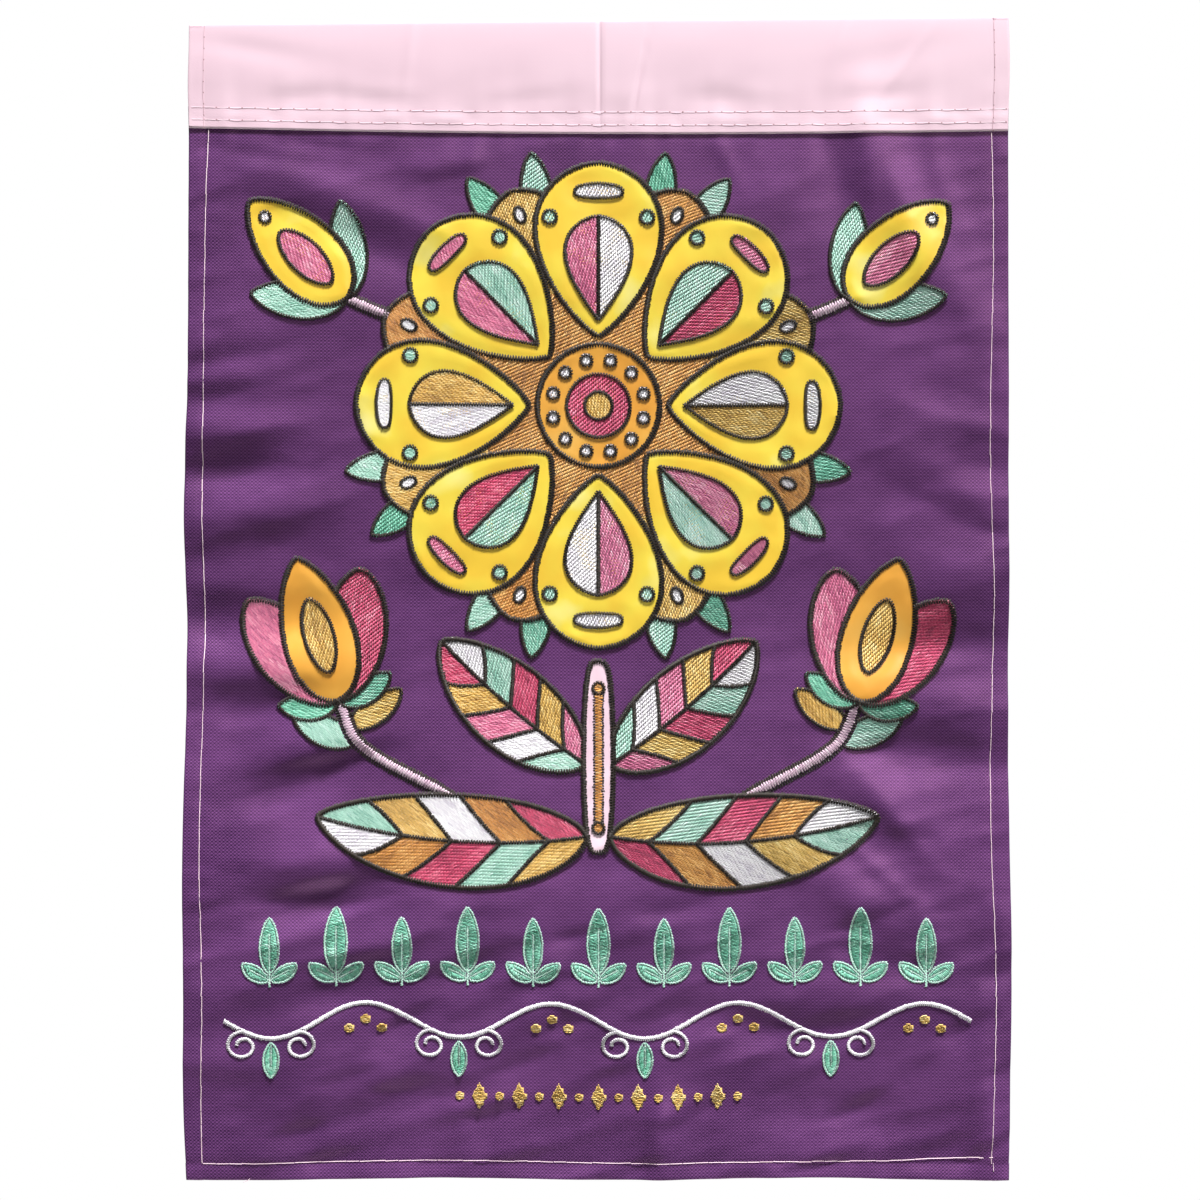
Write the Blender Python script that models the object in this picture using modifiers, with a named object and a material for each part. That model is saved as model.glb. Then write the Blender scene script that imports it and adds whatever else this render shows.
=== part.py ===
"""A house flag of woven polyester: a hemmed panel, a pole sleeve and satin applique.

Metres. X runs along the top edge, to the right as seen from the front, and Z is up. The front
faces -Y. The origin is the middle of the top edge, where a pole in the sleeve carries the flag.

Places on the cloth are given on the flat cut: `across` from its middle line and `down` from its
top edge. hang() takes such a place to where it is on the hanging flag.
"""

import math
from typing import NamedTuple

import bmesh
import bpy

# Driving dimensions
FLAG_WIDTH = 0.711
FLAG_DROP = 1.0055
SLEEVE_DROP = 0.0997
POCKET_DROP = 0.083
POCKET_SWELL_FRONT = 0.0012
POCKET_SWELL_BACK = 0.0200
POCKET_ROUND = 0.008
HEM = 0.0135
HEM_STEP = 0.0018
CLOTH = 0.0012
HEM_CLOTH = 0.0024
SATIN = 0.0010
GAP = 0.0003

# Steps of the meshes
INNER_COLUMNS = 28
INNER_ROWS = 47
POCKET_STEPS = 10
OUTLINE_STEPS = 13
TOP_EDGE_IN_SLEEVE = 0.080
PRISM_REACH = 0.06

HALF_WIDTH = FLAG_WIDTH / 2
POCKET_MIDDLE = HEM_CLOTH / 2
SEAM_HALF = HEM_CLOTH / 2 + GAP + CLOTH


class Fold(NamedTuple):
    """A soft ridge, or a trough where height is below 0, that the cloth hangs in."""

    across: float
    down: float
    half_length: float
    half_width: float
    height: float
    turn: float  # degrees that its long way rises to the right


class Bump(NamedTuple):
    """A stretch where a side edge stands outwards."""

    down: float
    half_length: float
    reach: float


class Petal(NamedTuple):
    """A piece of satin with one round or pointed tip, growing from its root."""

    name: str
    across: float
    down: float
    turn: float  # degrees clockwise from straight up
    length: float
    width: float
    fullest: float  # share of the length where it is widest
    point: float  # 0.5 gives round ends, 1 gives pointed ones
    finish: str


FOLDS = (
    # along the left side, where the free margin ripples beside the stiff embroidery
    Fold(-0.312, 0.150, 0.060, 0.018, 0.0016, -12),
    Fold(-0.300, 0.262, 0.055, 0.020, 0.0018, 10),
    Fold(-0.318, 0.352, 0.060, 0.017, 0.0042, 6),
    Fold(-0.318, 0.394, 0.060, 0.015, -0.0034, 6),
    Fold(-0.292, 0.430, 0.075, 0.018, 0.0050, 12),
    Fold(-0.300, 0.522, 0.080, 0.020, -0.0044, 3),
    Fold(-0.290, 0.562, 0.080, 0.017, 0.0048, 2),
    Fold(-0.296, 0.598, 0.070, 0.015, -0.0038, 4),
    Fold(-0.268, 0.634, 0.075, 0.016, 0.0042, 16),
    Fold(-0.256, 0.668, 0.060, 0.016, -0.0030, 14),
    Fold(-0.240, 0.728, 0.085, 0.020, 0.0044, 10),
    Fold(-0.236, 0.764, 0.080, 0.017, -0.0044, 14),
    # across the top, in slanting drags from the sleeve's seam
    Fold(-0.232, 0.156, 0.085, 0.020, 0.0046, -20),
    Fold(-0.214, 0.193, 0.080, 0.018, -0.0040, -22),
    Fold(-0.132, 0.126, 0.035, 0.014, 0.0026, 12),
    Fold(0.020, 0.176, 0.060, 0.020, -0.0016, -30),
    Fold(0.140, 0.160, 0.060, 0.024, 0.0018, 38),
    Fold(0.250, 0.150, 0.085, 0.026, 0.0046, -66),
    Fold(0.300, 0.220, 0.080, 0.022, 0.0036, -58),
    Fold(0.212, 0.140, 0.060, 0.018, -0.0024, -84),
    # along the right side
    Fold(0.318, 0.332, 0.050, 0.018, -0.0030, -16),
    Fold(0.305, 0.400, 0.062, 0.021, 0.0044, -24),
    Fold(0.318, 0.480, 0.055, 0.024, 0.0024, 12),
    Fold(0.292, 0.545, 0.080, 0.022, -0.0044, 0),
    Fold(0.286, 0.592, 0.085, 0.020, 0.0050, -6),
    Fold(0.290, 0.640, 0.080, 0.019, -0.0042, -4),
    Fold(0.236, 0.668, 0.060, 0.022, 0.0040, -38),
    # under the motif and round the border, rising to the right
    Fold(-0.190, 0.800, 0.075, 0.016, 0.0034, 20),
    Fold(-0.236, 0.846, 0.080, 0.016, -0.0030, 10),
    Fold(-0.090, 0.818, 0.070, 0.015, -0.0028, 24),
    Fold(-0.060, 0.862, 0.080, 0.018, 0.0026, 20),
    Fold(0.060, 0.790, 0.070, 0.018, 0.0028, 12),
    Fold(0.212, 0.752, 0.080, 0.022, 0.0044, -34),
    Fold(0.262, 0.822, 0.070, 0.020, -0.0030, -14),
    Fold(0.120, 0.868, 0.075, 0.018, -0.0026, -10),
    Fold(-0.200, 0.920, 0.090, 0.020, 0.0026, 14),
    Fold(0.060, 0.968, 0.045, 0.022, 0.0034, 88),
    Fold(-0.080, 0.984, 0.035, 0.016, 0.0022, 86),
    Fold(0.200, 0.944, 0.080, 0.022, -0.0026, -8),
    Fold(0.330, 0.930, 0.090, 0.012, 0.0026, 88),
)

# Where the side edges stand out, and how far the level lines leave the level.
LEFT_EDGE = (
    Bump(0.060, 0.030, 0.0010),
    Bump(0.430, 0.090, 0.0043),
    Bump(0.740, 0.160, 0.0052),
    Bump(0.940, 0.080, 0.0038),
)
RIGHT_EDGE = (
    Bump(0.040, 0.040, 0.0016),
    Bump(0.500, 0.050, 0.0010),
    Bump(0.830, 0.120, 0.0028),
    Bump(0.970, 0.050, 0.0008),
)
EDGE_INSET = -0.0012
TOP_SLOPE = 0.0034
SEAM_SAG = 0.0039
SEAM_SLOPE = 0.0013
FOOT_WAVE = 0.0010
FOOT_WAVE_AT = -0.22
FOOT_WAVE_LENGTH = 0.32

# The satin that a maker cuts out and sews on.
BLOOM_DOWN = 0.335
PETALS = 8
PETAL_ROOT = 0.060
SIDES = {"left": -1, "right": 1}
SATIN_PIECES = (
    *(
        Petal(
            f"petal_{k + 1}",
            PETAL_ROOT * math.sin(math.tau * k / PETALS),
            BLOOM_DOWN - PETAL_ROOT * math.cos(math.tau * k / PETALS),
            360 * k / PETALS,
            0.150,
            0.110,
            0.62,
            0.55,
            "yellow_satin",
        )
        for k in range(PETALS)
    ),
    Petal("bloom_heart", 0.0, BLOOM_DOWN + 0.053, 0, 0.106, 0.106, 0.5, 0.5, "orange_satin"),
    Petal("stem", 0.0, 0.556, 180, 0.166, 0.026, 0.5, 0.25, "pink_satin"),
    *(
        Petal(f"tulip_{side}", sign * 0.226, 0.592, sign * 16, 0.128, 0.062, 0.42, 0.7, "orange_satin")
        for side, sign in SIDES.items()
    ),
    *(
        Petal(f"bud_{side}", sign * 0.218, 0.244, sign * 46, 0.118, 0.064, 0.42, 0.7, "yellow_satin")
        for side, sign in SIDES.items()
    ),
)


class Finish(NamedTuple):
    """How a cloth looks: its colour in linear light and its roughness."""

    colour: tuple
    roughness: float


FINISHES = {
    "purple_cloth": Finish((0.130, 0.045, 0.160), 0.55),
    "pink_cloth": Finish((0.930, 0.700, 0.800), 0.45),
    "yellow_satin": Finish((0.930, 0.720, 0.090), 0.35),
    "orange_satin": Finish((0.910, 0.460, 0.070), 0.35),
    "pink_satin": Finish((0.880, 0.640, 0.740), 0.35),
}


def smooth_step(share):
    """0 below 0, 1 above 1, and an even rise between."""
    share = min(max(share, 0.0), 1.0)
    return share * share * (3 - 2 * share)


def swell(across, down):
    """How far the cloth stands out to the front at this place, from all its folds."""
    place = max(down, SLEEVE_DROP)
    total = 0.0
    for fold in FOLDS:
        along = across - fold.across
        below = place - fold.down
        turn = math.radians(fold.turn)
        run = (along * math.cos(turn) - below * math.sin(turn)) / fold.half_length
        side = (along * math.sin(turn) + below * math.cos(turn)) / fold.half_width
        total += fold.height * math.exp(-run * run - side * side)
    return total * smooth_step(down / SLEEVE_DROP) ** 2


def side_drift(across, down):
    """How far a place moves outwards with its side edge, fading to nothing in the middle."""
    reach = EDGE_INSET
    for bump in LEFT_EDGE if across < 0 else RIGHT_EDGE:
        reach += bump.reach * math.exp(-(((down - bump.down) / bump.half_length) ** 2))
    return reach * (across / HALF_WIDTH) ** 3


def line_drift(across, down):
    """How far a level line rises: the top edge slopes, the seam sags, and the foot has one low wave."""
    share = across / HALF_WIDTH
    top = TOP_SLOPE * share
    seam = SEAM_SAG * share**2 - SEAM_SLOPE * share
    foot = FOOT_WAVE * math.sin(math.tau * (across - FOOT_WAVE_AT) / FOOT_WAVE_LENGTH)
    below = smooth_step(down / SLEEVE_DROP)
    lower = max(down - SLEEVE_DROP, 0.0) / (FLAG_DROP - SLEEVE_DROP)
    return (1 - below) * top + below * ((1 - lower) * seam + lower * foot)


def hang(across, down, out=0.0):
    """The point of the hanging flag at this place of the flat cut, this far in front of the panel."""
    return (
        across + side_drift(across, down),
        -swell(across, down) - out,
        line_drift(across, down) - down,
    )


def spread(low, high, steps):
    """Evenly spaced numbers from low to high, both included."""
    return [low + (high - low) * k / steps for k in range(steps + 1)]


def columns():
    """Where the meshes have their columns: close at the hems' inner edges, even between them."""
    hem_line = HALF_WIDTH - HEM
    inner = hem_line - HEM_STEP
    return [-HALF_WIDTH, -hem_line, *spread(-inner, inner, INNER_COLUMNS), hem_line, HALF_WIDTH]


def panel_rows():
    """Where the panel has its rows, from its lower edge to the edge that the sleeve hides."""
    low = FLAG_DROP - HEM - HEM_STEP
    high = SLEEVE_DROP + HEM_STEP
    return [FLAG_DROP, FLAG_DROP - HEM, *spread(low, high, INNER_ROWS), SLEEVE_DROP, TOP_EDGE_IN_SLEEVE]


def in_hem(across, down):
    """True where the panel's cloth is folded over or lies in the sleeve's seam."""
    edge = 1e-6
    side = abs(across) > HALF_WIDTH - HEM - edge
    return side or down > FLAG_DROP - HEM - edge or down < SLEEVE_DROP + edge


def pocket_half(down, face):
    """How far the sleeve's cloth stands off its middle layer, at this depth, on its front or its back."""
    share = min(down / POCKET_DROP, 1.0)
    swell = POCKET_SWELL_FRONT if face < 0 else POCKET_SWELL_BACK
    bulge = swell * math.sin(math.pi * share**0.75)
    rounding = 1 - (1 - min(down / POCKET_ROUND, 1.0)) ** 2
    return (SEAM_HALF + bulge) * math.sqrt(rounding)


def sleeve_rows():
    """The sleeve's turns of cloth, front lower edge to back lower edge, as (down, -1 front or 1 back)."""
    turns = spread(0.0, math.pi / 2, POCKET_STEPS)[1:]
    depths = [POCKET_DROP * (1 - math.cos(turn)) for turn in reversed(turns)]
    front = [(SLEEVE_DROP, -1), *((down, -1) for down in depths)]
    back = [(down, 1) for down, _ in reversed(front)]
    return [*front, (0.0, 1), *back]


def new_object(name, mesh, collection):
    """Links a new object for this mesh."""
    made = bpy.data.objects.new(name, mesh)
    collection.objects.link(made)
    return made


def sheet(name, collection, across_values, rows, place, hemmed, thin, thick):
    """A sheet of cloth: a grid moved into its folds, with its thickness behind its outer face."""
    bm = bmesh.new()
    wide, tall = len(across_values) - 1, len(rows) - 1
    bmesh.ops.create_grid(bm, x_segments=wide, y_segments=tall, size=1.0)
    folded = []
    for vertex in bm.verts:
        across = across_values[round((vertex.co.x + 1) / 2 * wide)]
        row = rows[round((vertex.co.y + 1) / 2 * tall)]
        vertex.co = place(across, row)
        if hemmed(across, row):
            folded.append(vertex.index)
    bmesh.ops.triangulate(bm, faces=bm.faces, quad_method="FIXED")
    mesh = bpy.data.meshes.new(name)
    bm.to_mesh(mesh)
    bm.free()
    made = new_object(name, mesh, collection)
    made.vertex_groups.new(name="hem").add(folded, 1.0, "REPLACE")
    solid = made.modifiers.new("cloth", "SOLIDIFY")
    solid.thickness = thick
    solid.offset = -1.0
    solid.vertex_group = "hem"
    solid.thickness_vertex_group = thin / thick
    mesh.shade_smooth()
    return made


def panel(collection):
    """The panel, thicker round its border where the hem is folded to the back."""
    return sheet("flag_panel", collection, columns(), panel_rows(), hang, in_hem, CLOTH, HEM_CLOTH)


def sleeve(collection):
    """The pole sleeve: one strip folded over the top edge and sewn down on both faces of the panel."""

    def place(across, row):
        down, face = row
        x, y, z = hang(across, down)
        return (x, y + POCKET_MIDDLE + face * pocket_half(down, face), z)

    def plain(across, row):
        return True

    return sheet("pole_sleeve", collection, columns(), sleeve_rows(), place, plain, CLOTH, CLOTH)


def satin_layer(collection):
    """A helper as large as the panel, which lies in its folds just in front of it."""

    def place(across, down):
        return hang(across, down, GAP + SATIN)

    def plain(across, down):
        return True

    layer = sheet("satin_layer", collection, columns(), panel_rows(), place, plain, SATIN, SATIN)
    layer.hide_render = True
    layer.display_type = "WIRE"
    return layer


def outline(petal):
    """The petal's edge on the flat cut, clockwise from its root, as (across, down)."""
    full = math.log(0.5) / math.log(petal.fullest)
    turn = math.radians(petal.turn)
    shares = [(1 - math.cos(math.pi * k / OUTLINE_STEPS)) / 2 for k in range(OUTLINE_STEPS + 1)]
    halves = [petal.width / 2 * (4 * s**full * (1 - s**full)) ** petal.point for s in shares]
    left = [(-half, share * petal.length) for share, half in zip(shares, halves)]
    right = [(half, share * petal.length) for share, half in zip(shares[1:-1], halves[1:-1])]
    return [
        (
            petal.across + side * math.cos(turn) + up * math.sin(turn),
            petal.down - up * math.cos(turn) + side * math.sin(turn),
        )
        for side, up in [*left, *reversed(right)]
    ]


def applique(petal, layer, collection):
    """A satin piece: a prism of the petal's outline, of which only what lies in the satin layer is left."""
    edge = outline(petal)
    bm = bmesh.new()
    bmesh.ops.create_cone(bm, cap_ends=True, segments=len(edge), radius1=1, radius2=1, depth=2 * PRISM_REACH)
    for vertex in bm.verts:
        place = round(math.atan2(vertex.co.x, vertex.co.y) / math.tau * len(edge)) % len(edge)
        x, _, z = hang(*edge[place])
        vertex.co = (x, -vertex.co.z, z)
    bmesh.ops.recalc_face_normals(bm, faces=bm.faces)
    mesh = bpy.data.meshes.new(petal.name)
    bm.to_mesh(mesh)
    bm.free()
    made = new_object(petal.name, mesh, collection)
    cut = made.modifiers.new("in_the_layer", "BOOLEAN")
    cut.operation = "INTERSECT"
    cut.object = layer
    return made


def dress(made, finish_name):
    """Gives the object its finish's material, made once for each finish."""
    finish = FINISHES[finish_name]
    material = bpy.data.materials.get(finish_name) or bpy.data.materials.new(finish_name)
    material.use_nodes = True
    shader = material.node_tree.nodes["Principled BSDF"]
    shader.inputs["Base Color"].default_value = (*finish.colour, 1.0)
    shader.inputs["Roughness"].default_value = finish.roughness
    shader.inputs["Metallic"].default_value = 0.0
    made.data.materials.clear()
    made.data.materials.append(material)


def clear_scene():
    """Removes whatever the scene holds."""
    for found in list(bpy.data.objects):
        bpy.data.objects.remove(found, do_unlink=True)


def new_collection(name):
    """A collection of this name in the scene."""
    made = bpy.data.collections.new(name)
    bpy.context.scene.collection.children.link(made)
    return made


def main():
    """Builds the flag's pieces."""
    clear_scene()
    flag = new_collection("house_flag")
    helpers = new_collection("helpers")
    dress(panel(flag), "purple_cloth")
    dress(sleeve(flag), "pink_cloth")
    layer = satin_layer(helpers)
    for petal in SATIN_PIECES:
        dress(applique(petal, layer, flag), petal.finish)


main()
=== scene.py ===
"""Dresses the house flag: cloth in its folds, satin applique, and thread laid stitch by stitch.

Metres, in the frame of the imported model: X along the top edge, -Y out of the decorated face, Z up.
Places on the cloth are given on the flat cut, `across` from its middle line and `down` from its top
edge. A Surface takes them to where they are on the hanging flag. Turns are degrees clockwise from
straight up, as seen from the front.
"""

import logging
import math
from collections.abc import Callable
from dataclasses import dataclass, field, replace
from enum import Enum
from functools import cache
from typing import NamedTuple

import bpy
import numpy as np
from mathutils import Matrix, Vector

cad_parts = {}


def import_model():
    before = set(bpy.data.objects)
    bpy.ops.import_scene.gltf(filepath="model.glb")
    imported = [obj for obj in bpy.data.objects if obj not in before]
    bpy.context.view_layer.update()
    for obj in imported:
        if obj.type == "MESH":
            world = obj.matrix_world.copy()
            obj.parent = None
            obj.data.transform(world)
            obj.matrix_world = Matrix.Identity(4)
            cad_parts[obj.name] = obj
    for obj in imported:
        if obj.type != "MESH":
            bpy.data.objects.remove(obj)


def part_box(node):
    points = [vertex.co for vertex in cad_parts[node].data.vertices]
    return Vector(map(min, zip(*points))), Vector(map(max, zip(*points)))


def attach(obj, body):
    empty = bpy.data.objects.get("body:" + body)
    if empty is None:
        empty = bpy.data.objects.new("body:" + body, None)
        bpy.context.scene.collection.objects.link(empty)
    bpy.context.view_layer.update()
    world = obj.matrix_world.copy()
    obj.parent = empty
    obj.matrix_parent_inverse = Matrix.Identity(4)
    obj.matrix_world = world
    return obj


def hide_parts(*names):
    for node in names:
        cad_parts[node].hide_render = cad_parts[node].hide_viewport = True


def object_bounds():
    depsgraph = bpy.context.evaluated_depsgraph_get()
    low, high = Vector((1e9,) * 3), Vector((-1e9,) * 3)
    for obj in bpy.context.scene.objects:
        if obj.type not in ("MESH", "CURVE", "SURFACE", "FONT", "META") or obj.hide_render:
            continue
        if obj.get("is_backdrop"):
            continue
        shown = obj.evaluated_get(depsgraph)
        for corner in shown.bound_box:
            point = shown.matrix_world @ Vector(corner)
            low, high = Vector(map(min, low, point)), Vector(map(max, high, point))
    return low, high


LOG = logging.getLogger("house_flag")
MM = 0.001
BODY = "root"

Array = np.ndarray
Placer = Callable[[Array, Array], Array]
Rgba = tuple[float, float, float, float]
Piece = bpy.types.Object


# ---- small helpers


def linear(shade: str) -> Rgba:
    """Turns an sRGB hex colour to linear light.

    Args:
        shade: The colour, such as "#703f79".

    Returns:
        Red, green, blue and alpha.
    """
    parts = [int(shade[start : start + 2], 16) / 255 for start in (1, 3, 5)]
    light = [part / 12.92 if part <= 0.04045 else ((part + 0.055) / 1.055) ** 2.4 for part in parts]
    return (light[0], light[1], light[2], 1.0)


def smooth_step(share: Array | float) -> Array:
    """0 below 0, 1 above 1, and an even rise between."""
    share = np.clip(share, 0.0, 1.0)
    return share * share * (3 - 2 * share)


def eased(count: int) -> Array:
    """Shares from 0 to 1 that lie closer together towards both ends."""
    return (1 - np.cos(np.linspace(0.0, math.pi, count))) / 2


def ways(turn: float) -> tuple[Array, Array]:
    """The unit steps, as (across, down), along a turn and to the right of it."""
    sine, cosine = math.sin(math.radians(turn)), math.cos(math.radians(turn))
    return np.array([sine, -cosine]), np.array([cosine, sine])


def sideways(way: Array) -> Array:
    """The step square to each way along a path, one row each."""
    return np.column_stack([way[:, 1], -way[:, 0]])


def turned(across: Array, down: Array, turn: float) -> tuple[Array, Array]:
    """How far places lie along a line that rises to the right by a turn, and how far below it."""
    sine, cosine = math.sin(math.radians(turn)), math.cos(math.radians(turn))
    return across * cosine - down * sine, across * sine + down * cosine


def soft_noise(across: Array, down: Array, size: float, seed: int) -> Array:
    """Smooth random values on the flat cut.

    Args:
        across: Places across the cut.
        down: Places down the cut.
        size: How far apart the values change, in metres.
        seed: Picks another pattern.

    Returns:
        A value from -1 to 1 for each place.
    """
    cells, far_off = 64, 900.5
    lattice = np.random.default_rng(seed).uniform(-1, 1, (cells, cells))
    x, y = across / size + far_off, down / size + far_off
    left, top = np.floor(x).astype(int), np.floor(y).astype(int)
    fx, fy = smooth_step(x - left), smooth_step(y - top)
    corners = [lattice[(top + j) % cells, (left + i) % cells] for j in (0, 1) for i in (0, 1)]
    upper = corners[0] * (1 - fx) + corners[1] * fx
    lower = corners[2] * (1 - fx) + corners[3] * fx
    return upper * (1 - fy) + lower * fy


def inside(across: Array, down: Array, edge: Array) -> Array:
    """Tells which places lie inside a closed outline.

    Args:
        across: Places across the cut.
        down: Places down the cut.
        edge: The outline's corners in order, one row each.

    Returns:
        True for each place inside.
    """
    result = np.zeros(across.shape, dtype=bool)
    for (ax, ay), (bx, by) in zip(edge, np.roll(edge, -1, axis=0)):
        if ay != by:
            crosses = (ay > down) != (by > down)
            result ^= crosses & (across < ax + (down - ay) / (by - ay) * (bx - ax))
    return result


def distance_to(across: Array, down: Array, edge: Array) -> Array:
    """The distance from each place to the nearest corner of a finely stepped outline."""
    gaps = (across[:, None] - edge[None, :, 0]) ** 2 + (down[:, None] - edge[None, :, 1]) ** 2
    return np.sqrt(gaps.min(axis=1))


def resample(path: Array, pitch: float, closed: bool) -> tuple[Array, Array]:
    """Steps along a path at an even pitch.

    Args:
        path: The path's points, one row each.
        pitch: The step, in metres.
        closed: True where the last point joins the first.

    Returns:
        The places, and the unit way of the path at each.
    """
    points = np.vstack([path, path[:1]]) if closed else path
    runs = np.hypot(*np.diff(points, axis=0).T)
    points = points[np.concatenate([[True], runs > 1e-7])]
    reach = np.concatenate([[0.0], np.cumsum(runs[runs > 1e-7])])
    count = max(int(round(reach[-1] / pitch)), 2)
    at = (np.arange(count) + 0.5) * reach[-1] / count
    step = pitch * 0.8
    places, before, after = (
        np.column_stack([np.interp(spots, reach, points[:, k]) for k in (0, 1)])
        for spots in (at, at - step, at + step)
    )
    way = after - before
    return places, way / np.maximum(np.hypot(way[:, 0], way[:, 1])[:, None], 1e-9)


def curve(*points: tuple[float, float] | Array, steps: int = 40) -> Array:
    """A smooth path through given points.

    Args:
        points: Two or more (across, down) places.
        steps: How many steps each stretch gets.

    Returns:
        The path, one row for each step.
    """
    given = np.array(points, dtype=float)
    ends = np.vstack([2 * given[0] - given[1], given, 2 * given[-1] - given[-2]])
    share = np.linspace(0, 1, steps, endpoint=False)[:, None]
    made = []
    for a, b, c, d in zip(ends[:-3], ends[1:-2], ends[2:-1], ends[3:]):
        cubic = -a + 3 * b - 3 * c + d
        square = 2 * a - 5 * b + 4 * c - d
        made.append(0.5 * (2 * b + (c - a) * share + square * share**2 + cubic * share**3))
    return np.vstack([*made, given[-1:]])


def feed(tree: bpy.types.NodeTree, node: bpy.types.Node, inputs: dict[str | int, object]) -> None:
    """Sets a node's inputs.

    Args:
        tree: The node's tree.
        node: The node.
        inputs: Input names or numbers, each with a constant or the socket that feeds it.
    """
    for name, value in inputs.items():
        if isinstance(value, bpy.types.NodeSocket):
            tree.links.new(value, node.inputs[name])
        else:
            node.inputs[name].default_value = value


def add_node(
    tree: bpy.types.NodeTree,
    kind: str,
    inputs: dict[str | int, object],
    out: str | int = 0,
    **settings: object,
) -> bpy.types.NodeSocket:
    """Adds a node with its settings, its constants and its links.

    Args:
        tree: The node tree that gets it.
        kind: The shader node's type name, without its prefix.
        inputs: Its inputs, as feed takes them.
        out: The output's name or number.
        settings: The node's own settings.

    Returns:
        The node's output.
    """
    made = tree.nodes.new(f"ShaderNode{kind}")
    for name, value in settings.items():
        setattr(made, name, value)
    feed(tree, made, inputs)
    return made.outputs[out]


def new_material(name: str) -> tuple[bpy.types.Material, bpy.types.NodeTree, bpy.types.Node]:
    """A material with its node tree and its Principled shader.

    Args:
        name: Its name.

    Returns:
        The material, its node tree and its Principled shader.
    """
    made = bpy.data.materials.new(name)
    made.use_nodes = True
    return made, made.node_tree, made.node_tree.nodes["Principled BSDF"]


def new_object(name: str, data: bpy.types.ID) -> Piece:
    """Puts a mesh, a light or a camera into the scene under this name.

    Args:
        name: The object's name.
        data: The mesh, light or camera.

    Returns:
        The object.
    """
    made = bpy.data.objects.new(name, data)
    bpy.context.scene.collection.objects.link(made)
    return made


def deselect() -> None:
    """Leaves nothing selected, so that an operator acts on the new piece alone."""
    bpy.ops.object.select_all(action="DESELECT")


def pick(piece: Piece) -> None:
    """Selects one piece alone, so that operators act on it.

    Args:
        piece: The piece.
    """
    deselect()
    piece.select_set(True)
    bpy.context.view_layer.objects.active = piece


def hand_over(piece: Piece, material: bpy.types.Material) -> None:
    """Gives a finished piece its material and its place in the frame.

    Args:
        piece: The piece, at the origin.
        material: What it is made of.
    """
    piece.data.materials.clear()
    piece.data.materials.append(material)
    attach(piece, BODY)
    piece.data.calc_loop_triangles()
    LOG.info("%s: %d triangles", piece.name, len(piece.data.loop_triangles))


# ---- how the cloth hangs


class Fold(NamedTuple):
    """A soft ridge, or a trough where height is below 0, that the cloth hangs in."""

    across: float
    down: float
    half_length: float
    half_width: float
    height: float
    turn: float  # degrees that its long way rises to the right

    @classmethod
    def in_mm(cls, *row: float) -> "Fold":
        """A fold whose sizes are in millimetres, with its turn at the end."""
        return cls(*(size / 1000 for size in row[:5]), row[5])

    def local(self, across: Array, down: Array, lean: float = 0, stretch: float = 1) -> tuple[Array, Array]:
        """Measures places by the fold itself.

        Args:
            across: Places across the cut.
            down: Places down the cut.
            lean: Degrees to turn the fold by.
            stretch: How much longer to take the fold.

        Returns:
            How far along it and how far below it each place is, 1 at its half length and half width.
        """
        run, side = turned(across - self.across, down - self.down, self.turn + lean)
        return run / (self.half_length * stretch), side / self.half_width


class Bump(NamedTuple):
    """A stretch where a side edge stands outwards."""

    down: float
    half_length: float
    reach: float


class StiffPlace(NamedTuple):
    """A round stretch that the embroidery stiffens, so that the cloth creases less there."""

    across: float
    down: float
    radius: float


# Each row below gives across, down, half length, half width and height in millimetres, and the turn.
FOLDS = tuple(Fold.in_mm(*row) for row in (
    # along the left side, where the free margin ripples beside the stiff embroidery
    (-312, 150, 60, 18, 1.6, -12), (-300, 262, 55, 20, 1.8, 10), (-318, 352, 60, 17, 4.2, 6),
    (-318, 394, 60, 15, -3.4, 6), (-292, 430, 75, 18, 5, 12), (-300, 522, 80, 20, -4.4, 3),
    (-290, 562, 80, 17, 4.8, 2), (-296, 598, 70, 15, -3.8, 4), (-268, 634, 75, 16, 4.2, 16),
    (-256, 668, 60, 16, -3, 14), (-240, 728, 85, 20, 4.4, 10), (-236, 764, 80, 17, -4.4, 14),
    # across the top, in slanting drags from the sleeve's seam
    (-232, 156, 85, 20, 4.6, -20), (-214, 193, 80, 18, -4, -22), (-132, 126, 35, 14, 2.6, 12),
    (20, 176, 60, 20, -1.6, -30), (140, 160, 60, 24, 1.8, 38), (250, 150, 85, 26, 4.6, -66),
    (300, 220, 80, 22, 3.6, -58), (212, 140, 60, 18, -2.4, -84),
    # along the right side
    (318, 332, 50, 18, -3, -16), (305, 400, 62, 21, 4.4, -24), (318, 480, 55, 24, 2.4, 12),
    (292, 545, 80, 22, -4.4, 0), (286, 592, 85, 20, 5, -6), (290, 640, 80, 19, -4.2, -4),
    (236, 668, 60, 22, 4, -38),
    # under the motif and round the border, rising to the right
    (-190, 800, 75, 16, 3.4, 20), (-236, 846, 80, 16, -3, 10), (-90, 818, 70, 15, -2.8, 24),
    (-60, 862, 80, 18, 2.6, 20), (60, 790, 70, 18, 2.8, 12), (212, 752, 80, 22, 4.4, -34),
    (262, 822, 70, 20, -3, -14), (120, 868, 75, 18, -2.6, -10), (-200, 920, 90, 20, 2.6, 14),
    (60, 968, 45, 22, 3.4, 88), (-80, 984, 35, 16, 2.2, 86), (200, 944, 80, 22, -2.6, -8),
    (330, 930, 90, 12, 2.6, 88),
))

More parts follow.
